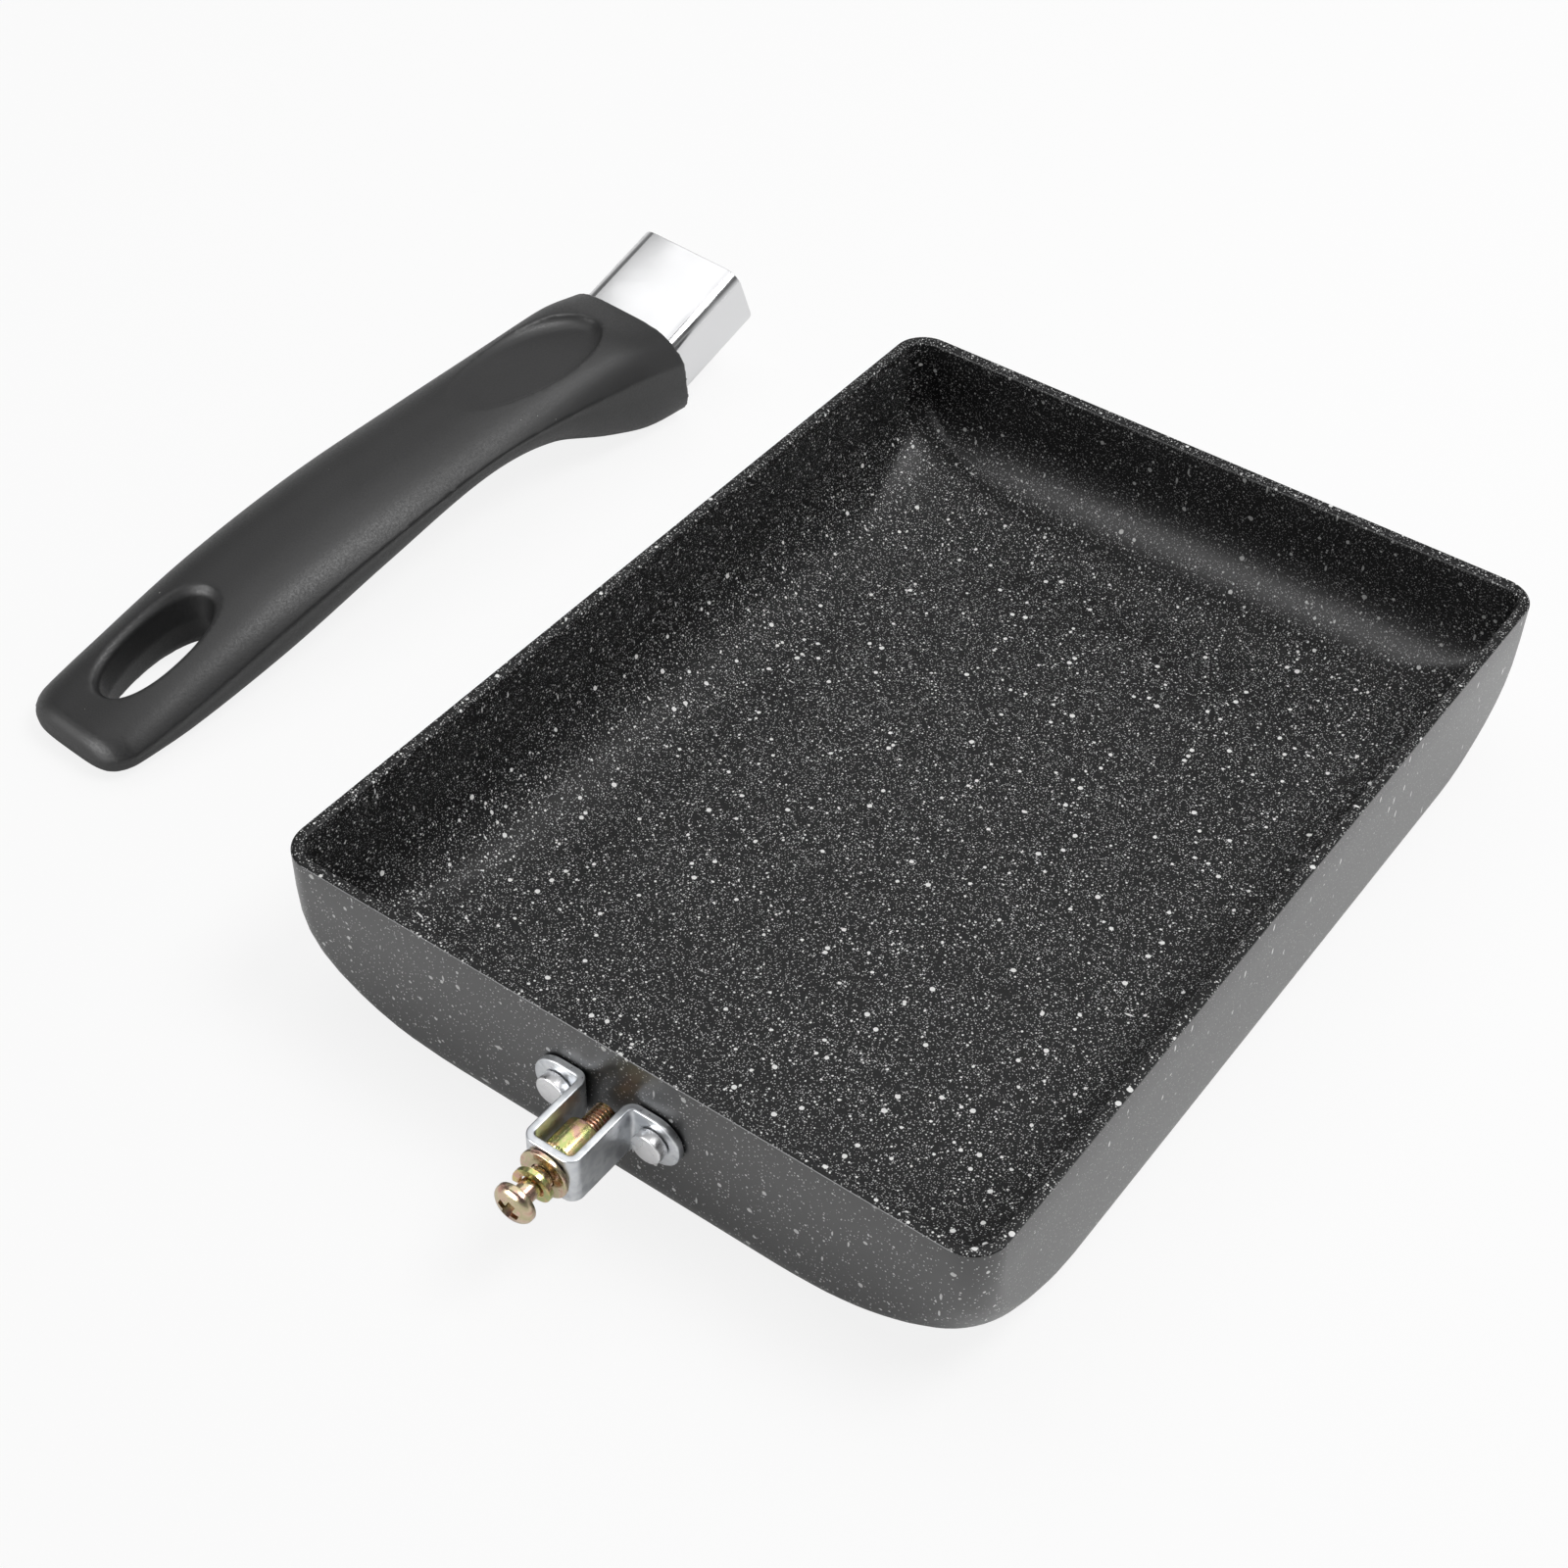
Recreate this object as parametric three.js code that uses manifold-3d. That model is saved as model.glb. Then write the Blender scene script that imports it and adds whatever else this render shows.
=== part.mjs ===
// Rectangular non-stick frying pan with a riveted handle bracket and a screw-on handle.
// The handle is taken off and lies beside the pan, as it comes before it is fitted.
// Millimetres, +Z up. The origin is the middle of the pan's flat base, on the table.
// The pan's long side runs along Y, its bracket points along -Y, and the handle lies on the -X side.
import * as THREE from "three";
import { mergeVertices } from "three/addons/utils/BufferGeometryUtils.js";
import Module from "manifold-3d";

const wasm = await Module();
wasm.setup();

// Pan body
const PAN_WIDTH = 150;
const PAN_LENGTH = 203;
const PAN_HEIGHT = 36;
const WALL = 2.4;
const FLOOR = 2.8;
const RIM_CORNER = 7;
const BASE_CORNER = 58;
const OUTER_FILLET = 7;
const INNER_FILLET = 10;
const RIM_EDGE = 0.6;
const CORNER_SWELL = 4.6;
const WALL_LEVELS = [0.35, 0.6, 0.76, 0.88];

// Bracket: one steel strap bent to a hat, with its ears flat on the pan's front wall
const STRAP = 1.5;
const BRACKET_X = 1.2;
const BRACKET_Z = 21.2;
const BRACKET_WIDTH = 11.2;
const BRACKET_HEIGHT = 10.6;
const BRACKET_REACH = 16.8;
const BEND_INSIDE = 0.9;
const RIVET_PITCH = 20.6;

// Rivets
const RIVET_SHANK = 2;
const RIVET_HEAD = 3.1;
const RIVET_HEAD_HEIGHT = 2.1;
const RIVET_INNER_HEAD = 3.8;
const RIVET_INNER_HEIGHT = 1.3;
const RIVET_EDGE = 0.5;

// Screw set, M4: clinch nut in the bracket's end plate, screw, split washer and flat washer
const SCREW_RADIUS = 1.9;
const SCREW_LENGTH = 22.6;
const SCREW_TIP_CHAMFER = 0.6;
const HEAD_RADIUS = 4;
const HEAD_HEIGHT = 2.7;
const HEAD_EDGE = 0.9;
const HEAD_STANDOFF = 7.5;
const RECESS_SPAN = 4.4;
const RECESS_SLOT = 1.1;
const RECESS_DEPTH = 1.7;
const NUT_RADIUS = 2.95;
const NUT_LENGTH = 8.8;
const NUT_COLLAR_RADIUS = 3.45;
const NUT_COLLAR_LENGTH = 1.1;
const NUT_SPIGOT_RADIUS = 2.7;
const FLAT_WASHER_OUTER = 4.95;
const FLAT_WASHER_INNER = 2.3;
const FLAT_WASHER_THICKNESS = 0.9;
const SPRING_WASHER_OUTER = 3.75;
const SPRING_WASHER_INNER = 2.25;
const SPRING_WASHER_THICKNESS = 1.1;
const SPRING_WASHER_RISE = 1.1;
const SPRING_WASHER_SPLIT = 0.35;
const SPRING_WASHER_STANDOFF = 3.4;

// Handle as it lies on the table, and the tilt of its socket against the grip
const HANDLE_X = -154;
const HANDLE_Y = -84.2;
const HANDLE_TURN = THREE.MathUtils.degToRad(-4.35);
const GRIP_LENGTH = 167;
const FACE_TILT = THREE.MathUtils.degToRad(11);
const SOCKET_TILT = THREE.MathUtils.degToRad(20);
// Stations along the grip: distance from the tail, half width, height of the top and of the underside,
// roundness of the belly, share of the thickness at which the side creases, and roundness of the crown
const GRIP_STATIONS = [
  { along: 0, half: 14.6, top: 8, under: 0, belly: 3.4, crease: 0.46, crown: 2.6 },
  { along: 18, half: 15.9, top: 13.4, under: 0, belly: 3.4, crease: 0.42, crown: 2.5 },
  { along: 46, half: 16.7, top: 20.4, under: 3.2, belly: 3.3, crease: 0.36, crown: 2.5 },
  { along: 76, half: 16.5, top: 24.7, under: 8, belly: 2.6, crease: 0.33, crown: 2.5 },
  { along: 108, half: 15.6, top: 27, under: 11.6, belly: 2, crease: 0.33, crown: 2.5 },
  { along: 130, half: 16.3, top: 28, under: 9, belly: 2.1, crease: 0.33, crown: 2.6 },
  { along: 146, half: 17.1, top: 28.3, under: 3.4, belly: 3.5, crease: 0.3, crown: 2.9 },
  { along: 156, half: 17.7, top: 27.6, under: 0.4, belly: 4.2, crease: 0.28, crown: 3.2 },
  { along: 167, half: 18.1, top: 25, under: 0, belly: 4.4, crease: 0.28, crown: 3.4 },
];
const LEAN_START = 117;
const TAIL_PLAN_ROUND = 7;
const TAIL_EDGE_ROUND = 3;

// Hanging hole through the tail
const HOLE_CENTRE = 25;
const HOLE_LENGTH = 29;
const HOLE_WIDTH = 14;
const HOLE_BEVEL = 1.6;
const HOLE_WAIST = 0.4;
const HOLE_SQUARENESS = 2.2;

// Thumb rest pressed into the top by the head
const THUMB_CENTRE = 131;
const THUMB_LENGTH = 46;
const THUMB_WIDTH = 24;
const THUMB_DEPTH = 1.9;
const THUMB_TILT = THREE.MathUtils.degToRad(3);

// Flame guard: an aluminium tube seated in the grip's head
const GUARD_WIDTH = 30;
const GUARD_HEIGHT = 17.2;
const GUARD_CORNER = 3.8;
const GUARD_WALL = 1.1;
const GUARD_PROUD = 25.4;
const GUARD_SEAT = 8;
const GUARD_RISE = 13.2;
const SOCKET_WEB = 4;
const SCREW_BORE = 2.5;
const DRIVER_BORE = 5.4;
const DRIVER_BORE_LENGTH = 60;

// Gap between a piece and the seat that it is held in
const GAP = 0.3;
// Overlength of a cutting tool past the face that it leaves through
const OVERCUT = 1;

const ROUND_STEPS = 28;
const CORNER_STEPS = 8;
const FILLET_STEPS = 6;
const DOME_STEPS = 5;
const GRIP_RINGS = 34;
const GRIP_POINTS = 32;
const TAIL_CROWD = 0.2;

// Where the pieces of the bracket stand along Y
const frontWall = -PAN_LENGTH / 2;
const earBack = frontWall - GAP;
const earFront = earBack - STRAP;
const plateFront = earBack - BRACKET_REACH;
const plateBack = plateFront + STRAP;

// Closed solid through a list of rings that have the same number of points
function loft(rings) {
  const count = rings[0].length;
  const positions = [];
  const faces = [];
  for (const ring of rings) {
    for (const point of ring) positions.push(point.x, point.y, point.z);
  }
  for (let level = 0; level + 1 < rings.length; level += 1) {
    for (let i = 0; i < count; i += 1) {
      const next = (i + 1) % count;
      const low = level * count;
      const high = low + count;
      faces.push(low + i, low + next, high + next);
      faces.push(low + i, high + next, high + i);
    }
  }
  const capAt = (ring, first, flip) => {
    const middle = ring.reduce((sum, point) => sum.add(point), new THREE.Vector3());
    middle.divideScalar(count);
    const centre = positions.length / 3;
    positions.push(middle.x, middle.y, middle.z);
    for (let i = 0; i < count; i += 1) {
      const next = (i + 1) % count;
      if (flip) faces.push(centre, first + next, first + i);
      else faces.push(centre, first + i, first + next);
    }
  };
  capAt(rings[0], 0, true);
  capAt(rings[rings.length - 1], (rings.length - 1) * count, false);
  const geometry = new THREE.BufferGeometry();
  geometry.setAttribute("position", new THREE.Float32BufferAttribute(positions, 3));
  geometry.setIndex(faces);
  return geometry;
}

// Geometry to solid, and back
function solidOf(geometry) {
  const bare = geometry.clone();
  bare.deleteAttribute("normal");
  bare.deleteAttribute("uv");
  const merged = mergeVertices(bare, 1e-4);
  const mesh = new wasm.Mesh({
    numProp: 3,
    vertProperties: new Float32Array(merged.attributes.position.array),
    triVerts: new Uint32Array(merged.index.array),
  });
  return new wasm.Manifold(mesh);
}

function geometryOf(solid) {
  const mesh = solid.getMesh();
  const geometry = new THREE.BufferGeometry();
  geometry.setAttribute("position", new THREE.BufferAttribute(mesh.vertProperties, 3));
  geometry.setIndex(new THREE.BufferAttribute(mesh.triVerts, 1));
  return geometry;
}

function cut(geometry, tools) {
  const result = tools.reduce((body, tool) => body.subtract(solidOf(tool)), solidOf(geometry));
  return geometryOf(result);
}

function common(first, second) {
  return geometryOf(solidOf(first).intersect(solidOf(second)));
}

// Rounded rectangle in the XY plane at one height, counter-clockwise
function roundedRing(halfX, halfY, radius, z) {
  const points = [];
  for (let corner = 0; corner < 4; corner += 1) {
    const signX = corner === 0 || corner === 3 ? 1 : -1;
    const signY = corner < 2 ? 1 : -1;
    for (let step = 0; step <= CORNER_STEPS; step += 1) {
      const angle = ((corner + step / CORNER_STEPS) * Math.PI) / 2;
      const x = signX * (halfX - radius) + radius * Math.cos(angle);
      const y = signY * (halfY - radius) + radius * Math.sin(angle);
      points.push(new THREE.Vector3(x, y, z));
    }
  }
  return points;
}

// Solid of revolution about Y from a half profile of [radius, y] points
function turnedAboutY(profile) {
  const points = profile.map(([radius, y]) => new THREE.Vector2(radius, y));
  return new THREE.LatheGeometry(points, ROUND_STEPS);
}

function cylinderAlongY(radius, from, to, x, z) {
  const geometry = new THREE.CylinderGeometry(radius, radius, to - from, ROUND_STEPS);
  geometry.translate(x, (from + to) / 2, z);
  return geometry;
}

// One ring of the pan at a depth below the rim, with corners that swell towards the full depth
function panRing(inset, depth, fullDepth, rimCorner, baseCorner) {
  const swell = (depth / fullDepth) ** CORNER_SWELL;
  const radius = rimCorner + (baseCorner - rimCorner) * swell;
  return roundedRing(PAN_WIDTH / 2 - inset, PAN_LENGTH / 2 - inset, radius, PAN_HEIGHT - depth);
}

// Rivet centres across the pan
function rivetX(side) {
  return BRACKET_X + (side * RIVET_PITCH) / 2;
}

function panBody() {
  const outerDepth = PAN_HEIGHT;
  const innerDepth = PAN_HEIGHT - FLOOR;
  const innerRimCorner = RIM_CORNER - WALL;
  const innerBaseCorner = BASE_CORNER - INNER_FILLET;
  const outer = (inset, depth) => panRing(inset, depth, outerDepth, RIM_CORNER, BASE_CORNER);
  const inner = (inset, depth) => panRing(inset, depth, innerDepth, innerRimCorner, innerBaseCorner);
  const rings = [];
  for (let step = FILLET_STEPS; step >= 0; step -= 1) {
    const angle = ((step / FILLET_STEPS) * Math.PI) / 2;
    const inset = OUTER_FILLET * (1 - Math.cos(angle));
    rings.push(outer(inset, outerDepth - OUTER_FILLET + OUTER_FILLET * Math.sin(angle)));
  }
  const outerWall = outerDepth - OUTER_FILLET;
  for (const share of WALL_LEVELS.toReversed()) rings.push(outer(0, outerWall * share));
  rings.push(outer(0, RIM_EDGE));
  rings.push(outer(RIM_EDGE, 0));
  rings.push(inner(WALL - RIM_EDGE, 0));
  rings.push(inner(WALL, RIM_EDGE));
  const innerWall = innerDepth - INNER_FILLET;
  for (const share of WALL_LEVELS) rings.push(inner(WALL, innerWall * share));
  for (let step = 0; step <= FILLET_STEPS; step += 1) {
    const angle = ((step / FILLET_STEPS) * Math.PI) / 2;
    const inset = WALL + INNER_FILLET * (1 - Math.cos(angle));
    rings.push(inner(inset, innerWall + INNER_FILLET * Math.sin(angle)));
  }
  const holes = [-1, 1].map((side) =>
    cylinderAlongY(
      RIVET_SHANK + GAP,
      frontWall - OVERCUT,
      frontWall + WALL + OVERCUT,
      rivetX(side),
      BRACKET_Z,
    ),
  );
  return cut(loft(rings), holes);
}

// Plan of the bent strap: out along one ear, down an arm, across the end plate and back
function strapPlan() {
  const half = BRACKET_WIDTH / 2;
  const earEnd = RIVET_PITCH / 2 + BRACKET_HEIGHT / 2;
  const outside = BEND_INSIDE + STRAP;
  const quarter = Math.PI / 2;
  const plan = new THREE.Shape();
  plan.moveTo(-earEnd, earBack);
  plan.lineTo(-earEnd, earFront);
  plan.absarc(-half - BEND_INSIDE, earFront - BEND_INSIDE, BEND_INSIDE, quarter, 0, true);
  plan.absarc(-half + outside, plateFront + outside, outside, 2 * quarter, 3 * quarter, false);
  plan.absarc(half - outside, plateFront + outside, outside, 3 * quarter, 4 * quarter, false);
  plan.absarc(half + BEND_INSIDE, earFront - BEND_INSIDE, BEND_INSIDE, 2 * quarter, quarter, true);
  plan.lineTo(earEnd, earFront);
  plan.lineTo(earEnd, earBack);
  plan.absarc(half + BEND_INSIDE, earBack - outside, outside, quarter, 2 * quarter, false);
  plan.absarc(half - outside, plateBack + BEND_INSIDE, BEND_INSIDE, 4 * quarter, 3 * quarter, true);
  plan.absarc(-half + outside, plateBack + BEND_INSIDE, BEND_INSIDE, 3 * quarter, 2 * quarter, true);
  plan.absarc(-half - BEND_INSIDE, earBack - outside, outside, 0, quarter, false);
  plan.lineTo(-earEnd, earBack);
  return plan;
}

function handleBracket() {
  const strap = new THREE.ExtrudeGeometry(strapPlan(), {
    depth: BRACKET_HEIGHT,
    bevelEnabled: false,
    curveSegments: CORNER_STEPS,
  });
  strap.translate(BRACKET_X, 0, BRACKET_Z - BRACKET_HEIGHT / 2);
  const earRadius = BRACKET_HEIGHT / 2;
  const front = new THREE.Shape();
  front.absarc(RIVET_PITCH / 2, 0, earRadius, -Math.PI / 2, Math.PI / 2, false);
  front.absarc(-RIVET_PITCH / 2, 0, earRadius, Math.PI / 2, (3 * Math.PI) / 2, false);
  const rounding = new THREE.ExtrudeGeometry(front, {
    depth: BRACKET_REACH + 2 * OVERCUT,
    bevelEnabled: false,
    curveSegments: ROUND_STEPS / 2,
  });
  rounding.rotateX(Math.PI / 2);
  rounding.translate(BRACKET_X, earBack + OVERCUT, BRACKET_Z);
  const holes = [-1, 1].map((side) =>
    cylinderAlongY(RIVET_SHANK + GAP, earFront - OVERCUT, earBack + OVERCUT, rivetX(side), BRACKET_Z),
  );
  holes.push(
    cylinderAlongY(
      NUT_SPIGOT_RADIUS + GAP,
      plateFront - OVERCUT,
      plateBack + OVERCUT,
      BRACKET_X,
      BRACKET_Z,
    ),
  );
  return cut(common(strap, rounding), holes);
}

// Quarter-ellipse profile of a dome, from its rim to its crown on the axis
function domeProfile(radius, rim, crown) {
  const points = [];
  for (let step = 0; step <= DOME_STEPS; step += 1) {
    const angle = ((step / DOME_STEPS) * Math.PI) / 2;
    const reach = step === DOME_STEPS ? 0 : radius * Math.cos(angle);
    points.push([reach, rim + (crown - rim) * Math.sin(angle)]);
  }
  return points;
}

// Rivet through the ear and the wall, with a flat set head outside and a low dome inside the pan
function rivet() {
  const headBack = earFront - GAP;
  const headFront = headBack - RIVET_HEAD_HEIGHT;
  const domeFront = frontWall + WALL + GAP;
  return turnedAboutY([
    [0, headFront],
    [RIVET_HEAD - RIVET_EDGE, headFront],
    [RIVET_HEAD, headFront + RIVET_EDGE],
    [RIVET_HEAD, headBack],
    [RIVET_SHANK, headBack],
    [RIVET_SHANK, domeFront],
    ...domeProfile(RIVET_INNER_HEAD, domeFront, domeFront + RIVET_INNER_HEIGHT),
  ]);
}

// Clinch nut: spigot in the end plate, collar behind it and a long threaded sleeve
function clinchNut() {
  const collarFront = plateBack + GAP;
  const collarBack = collarFront + NUT_COLLAR_LENGTH;
  const sleeveBack = collarFront + NUT_LENGTH;
  const bore = SCREW_RADIUS + GAP;
  return turnedAboutY([
    [bore, plateFront],
    [NUT_SPIGOT_RADIUS, plateFront],
    [NUT_SPIGOT_RADIUS, collarFront],
    [NUT_COLLAR_RADIUS, collarFront],
    [NUT_COLLAR_RADIUS, collarBack],
    [NUT_RADIUS, collarBack],
    [NUT_RADIUS, sleeveBack],
    [bore, sleeveBack],
    [bore, plateFront],
  ]);
}

function flatWasher() {
  const back = plateFront - GAP;
  const front = back - FLAT_WASHER_THICKNESS;
  return turnedAboutY([
    [FLAT_WASHER_INNER, front],
    [FLAT_WASHER_OUTER, front],
    [FLAT_WASHER_OUTER, back],
    [FLAT_WASHER_INNER, back],
    [FLAT_WASHER_INNER, front],
  ]);
}

// Split spring washer: a square bar coiled through one turn
function springWasher() {
  const middle = plateFront - SPRING_WASHER_STANDOFF;
  const half = SPRING_WASHER_THICKNESS / 2;
  const split = SPRING_WASHER_SPLIT;
  const rings = [];
  for (let step = 0; step <= ROUND_STEPS; step += 1) {
    const share = step / ROUND_STEPS;
    const angle = Math.PI + split / 2 + share * (2 * Math.PI - split);
    const y = middle + (share - 0.5) * SPRING_WASHER_RISE;
    const at = (radius, side) =>
      new THREE.Vector3(radius * Math.cos(angle), y + side * half, radius * Math.sin(angle));
    rings.push([
      at(SPRING_WASHER_OUTER, -1),
      at(SPRING_WASHER_OUTER, 1),
      at(SPRING_WASHER_INNER, 1),
      at(SPRING_WASHER_INNER, -1),
    ]);
  }
  return loft(rings);
}

// Pan-head screw with a crossed recess
function screw() {
  const under = plateFront - HEAD_STANDOFF;
  const top = under - HEAD_HEIGHT;
  const tip = under + SCREW_LENGTH;
  const body = turnedAboutY([
    ...domeProfile(HEAD_RADIUS, under - HEAD_EDGE, top).reverse(),
    [HEAD_RADIUS, under],
    [SCREW_RADIUS, under],
    [SCREW_RADIUS, tip - SCREW_TIP_CHAMFER],
    [SCREW_RADIUS - SCREW_TIP_CHAMFER, tip],
    [0, tip],
  ]);
  const depth = RECESS_DEPTH + OVERCUT;
  const wing = (width, height) => {
    const bar = new THREE.BoxGeometry(width, depth, height);
    bar.translate(0, top + RECESS_DEPTH - depth / 2, 0);
    return bar;
  };
  return cut(body, [wing(RECESS_SPAN, RECESS_SLOT), wing(RECESS_SLOT, RECESS_SPAN)]);
}

// Smooth value of one column of the grip's stations at a distance from the tail
function stationValue(column, distance) {
  const last = GRIP_STATIONS.length - 1;
  let i = 0;
  while (i < last - 1 && GRIP_STATIONS[i + 1].along < distance) i += 1;
  const slope = (k) => {
    const before = GRIP_STATIONS[Math.max(k - 1, 0)];
    const after = GRIP_STATIONS[Math.min(k + 1, last)];
    return (after[column] - before[column]) / (after.along - before.along);
  };
  const from = GRIP_STATIONS[i];
  const to = GRIP_STATIONS[i + 1];
  const span = to.along - from.along;
  const u = (distance - from.along) / span;
  const rise = u * u * (3 - 2 * u);
  const leave = u * (1 - u) * (1 - u) * span;
  const arrive = u * u * (1 - u) * span;
  return from[column] * (1 - rise) + to[column] * rise + slope(i) * leave - slope(i + 1) * arrive;
}

// How far a quarter-round end draws its outline in, at a distance from the end
function roundedEnd(distance, radius) {
  if (distance >= radius) return 0;
  const share = 1 - distance / radius;
  return radius * (1 - Math.sqrt(1 - share * share));
}

// One cross-section of the grip: flat top with soft creases, round belly, leaning over near the head
function gripRing(distance) {
  const half = stationValue("half", distance) - roundedEnd(distance, TAIL_PLAN_ROUND);
  const edge = roundedEnd(distance, TAIL_EDGE_ROUND);
  const top = stationValue("top", distance) - edge;
  const bottom = Math.max(stationValue("under", distance), 0) + edge;
  const belly = stationValue("belly", distance);
  const crown = stationValue("crown", distance);
  const crease = top - stationValue("crease", distance) * (top - bottom);
  const lean = Math.tan(FACE_TILT) * THREE.MathUtils.smoothstep(distance, LEAN_START, GRIP_LENGTH);
  const points = [];
  for (let i = 0; i < GRIP_POINTS; i += 1) {
    const angle = (i / GRIP_POINTS) * 2 * Math.PI;
    const across = Math.cos(angle);
    const upward = Math.sin(angle);
    const power = 2 / (upward >= 0 ? crown : belly);
    const reach = upward >= 0 ? top - crease : crease - bottom;
    const x = half * Math.sign(across) * Math.abs(across) ** power;
    const z = crease + reach * Math.sign(upward) * Math.abs(upward) ** power;
    points.push(new THREE.Vector3(x, distance - lean * (z - GUARD_RISE), z));
  }
  return points.reverse();
}

// Leaf-shaped ring of the hanging hole, grown by a margin
function holeRing(margin, z) {
  const points = [];
  for (let i = 0; i < ROUND_STEPS; i += 1) {
    const angle = (i / ROUND_STEPS) * 2 * Math.PI;
    const power = 2 / HOLE_SQUARENESS;
    const c = Math.cos(angle);
    const s = Math.sin(angle);
    const x = (HOLE_WIDTH / 2 + margin) * Math.sign(c) * Math.abs(c) ** power;
    const y = (HOLE_LENGTH / 2 + margin) * Math.sign(s) * Math.abs(s) ** power;
    points.push(new THREE.Vector3(x, HOLE_CENTRE + y, z + y * holeSlope()));
  }
  return points;
}

// The hole leans with the grip's top face
function holeSlope() {
  const ahead = stationValue("top", HOLE_CENTRE + HOLE_LENGTH / 2);
  const behind = stationValue("top", HOLE_CENTRE - HOLE_LENGTH / 2);
  return (ahead - behind) / HOLE_LENGTH;
}

function hangingHole() {
  const top = stationValue("top", HOLE_CENTRE);
  const bottom = stationValue("under", HOLE_CENTRE);
  const middle = (top + bottom) / 2;
  const reach = OVERCUT + HOLE_BEVEL;
  return loft([
    holeRing(HOLE_BEVEL + reach, bottom - reach - OVERCUT),
    holeRing(HOLE_BEVEL, bottom - OVERCUT),
    holeRing(0, bottom + HOLE_BEVEL),
    holeRing(-HOLE_WAIST, middle),
    holeRing(0, top - HOLE_BEVEL),
    holeRing(HOLE_BEVEL, top),
    holeRing(HOLE_BEVEL + reach, top + reach),
  ]);
}

function thumbRest() {
  const bowl = new THREE.SphereGeometry(1, ROUND_STEPS, ROUND_STEPS / 2);
  const height = THUMB_DEPTH * 2;
  bowl.scale(THUMB_WIDTH / 2, THUMB_LENGTH / 2, height);
  bowl.rotateX(-THUMB_TILT);
  bowl.translate(0, THUMB_CENTRE, stationValue("top", THUMB_CENTRE) + height - THUMB_DEPTH);
  return bowl;
}

// Turns a shape built along Z into the socket's frame: along the socket's axis from the head's face
function inSocket(geometry) {
  geometry.rotateX(-Math.PI / 2);
  geometry.rotateX(SOCKET_TILT);
  geometry.translate(0, GRIP_LENGTH, GUARD_RISE);
  return geometry;
}

function socketTube(grow, from, to) {
  const halfX = GUARD_WIDTH / 2 + grow;
  const halfZ = GUARD_HEIGHT / 2 + grow;
  const ring = (along) => roundedRing(halfX, halfZ, GUARD_CORNER + grow, along);
  return inSocket(loft([ring(from), ring(to)]));
}

function socketBore(radius, from, to) {
  const bore = new THREE.CylinderGeometry(radius, radius, to - from, ROUND_STEPS);
  bore.rotateX(Math.PI / 2);
  bore.translate(0, 0, (from + to) / 2);
  return inSocket(bore);
}

// Spreads the sections so that they crowd together at the rounded tail
function crowdedTail(share) {
  return share < TAIL_CROWD ? (share * share) / TAIL_CROWD : share;
}

function handleGrip() {
  const rings = [];
  for (let i = 0; i <= GRIP_RINGS; i += 1) {
    rings.push(gripRing(GRIP_LENGTH * crowdedTail(i / GRIP_RINGS)));
  }
  const webBack = -GUARD_SEAT - SOCKET_WEB;
  return cut(loft(rings), [
    hangingHole(),
    thumbRest(),
    socketTube(GAP, -GUARD_SEAT, GUARD_PROUD),
    socketBore(SCREW_BORE, webBack - OVERCUT, OVERCUT),
    socketBore(DRIVER_BORE, webBack - DRIVER_BORE_LENGTH, webBack),
  ]);
}

function flameGuard() {
  const inside = socketTube(-GUARD_WALL, -GUARD_SEAT - OVERCUT, GUARD_PROUD + OVERCUT);
  return cut(socketTube(0, -GUARD_SEAT + GAP, GUARD_PROUD), [inside]);
}

function finish(colour, roughness, metalness) {
  return new THREE.MeshStandardMaterial({ color: colour, roughness, metalness });
}

const coating = finish(0x1c1d1f, 0.45, 0.1);
const zincSteel = finish(0xa9b2b8, 0.35, 1);
const aluminium = finish(0xd6d8da, 0.3, 1);
const yellowZinc = finish(0xb89a5c, 0.3, 1);
const bakelite = finish(0x26262a, 0.6, 0);
const polished = finish(0xe2e4e6, 0.15, 1);

function piece(name, geometry, material) {
  const shape = geometry.clone();
  shape.computeVertexNormals();
  const mesh = new THREE.Mesh(shape, material);
  mesh.name = name;
  return mesh;
}

const fryingPan = new THREE.Group();
fryingPan.add(piece("pan_body", panBody(), coating));
fryingPan.add(piece("handle_bracket", handleBracket(), zincSteel));

for (const [name, side] of [["rivet_left", -1], ["rivet_right", 1]]) {
  const mesh = piece(name, rivet(), aluminium);
  mesh.position.set(rivetX(side), 0, BRACKET_Z);
  fryingPan.add(mesh);
}

const screwSet = new THREE.Group();
screwSet.position.set(BRACKET_X, 0, BRACKET_Z);
screwSet.add(piece("clinch_nut", clinchNut(), yellowZinc));
screwSet.add(piece("flat_washer", flatWasher(), yellowZinc));
screwSet.add(piece("spring_washer", springWasher(), yellowZinc));
screwSet.add(piece("screw", screw(), yellowZinc));
fryingPan.add(screwSet);

const handle = new THREE.Group();
handle.position.set(HANDLE_X, HANDLE_Y, 0);
handle.rotation.z = HANDLE_TURN;
handle.add(piece("handle_grip", handleGrip(), bakelite));
handle.add(piece("flame_guard", flameGuard(), polished));
fryingPan.add(handle);

export default fryingPan;
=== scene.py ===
# %% [markdown]
# # A small rectangular frying pan with its handle unscrewed
# The solids of the pan come in first as a fixed frame, in metres, with +Z up and the middle of the
# pan's base at the origin. Each visible piece is then modelled again at the same place with a fine
# surface, and the solid that it stands for is hidden.

# %% Load the frame
import math
import bpy
from mathutils import Matrix, Vector


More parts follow.
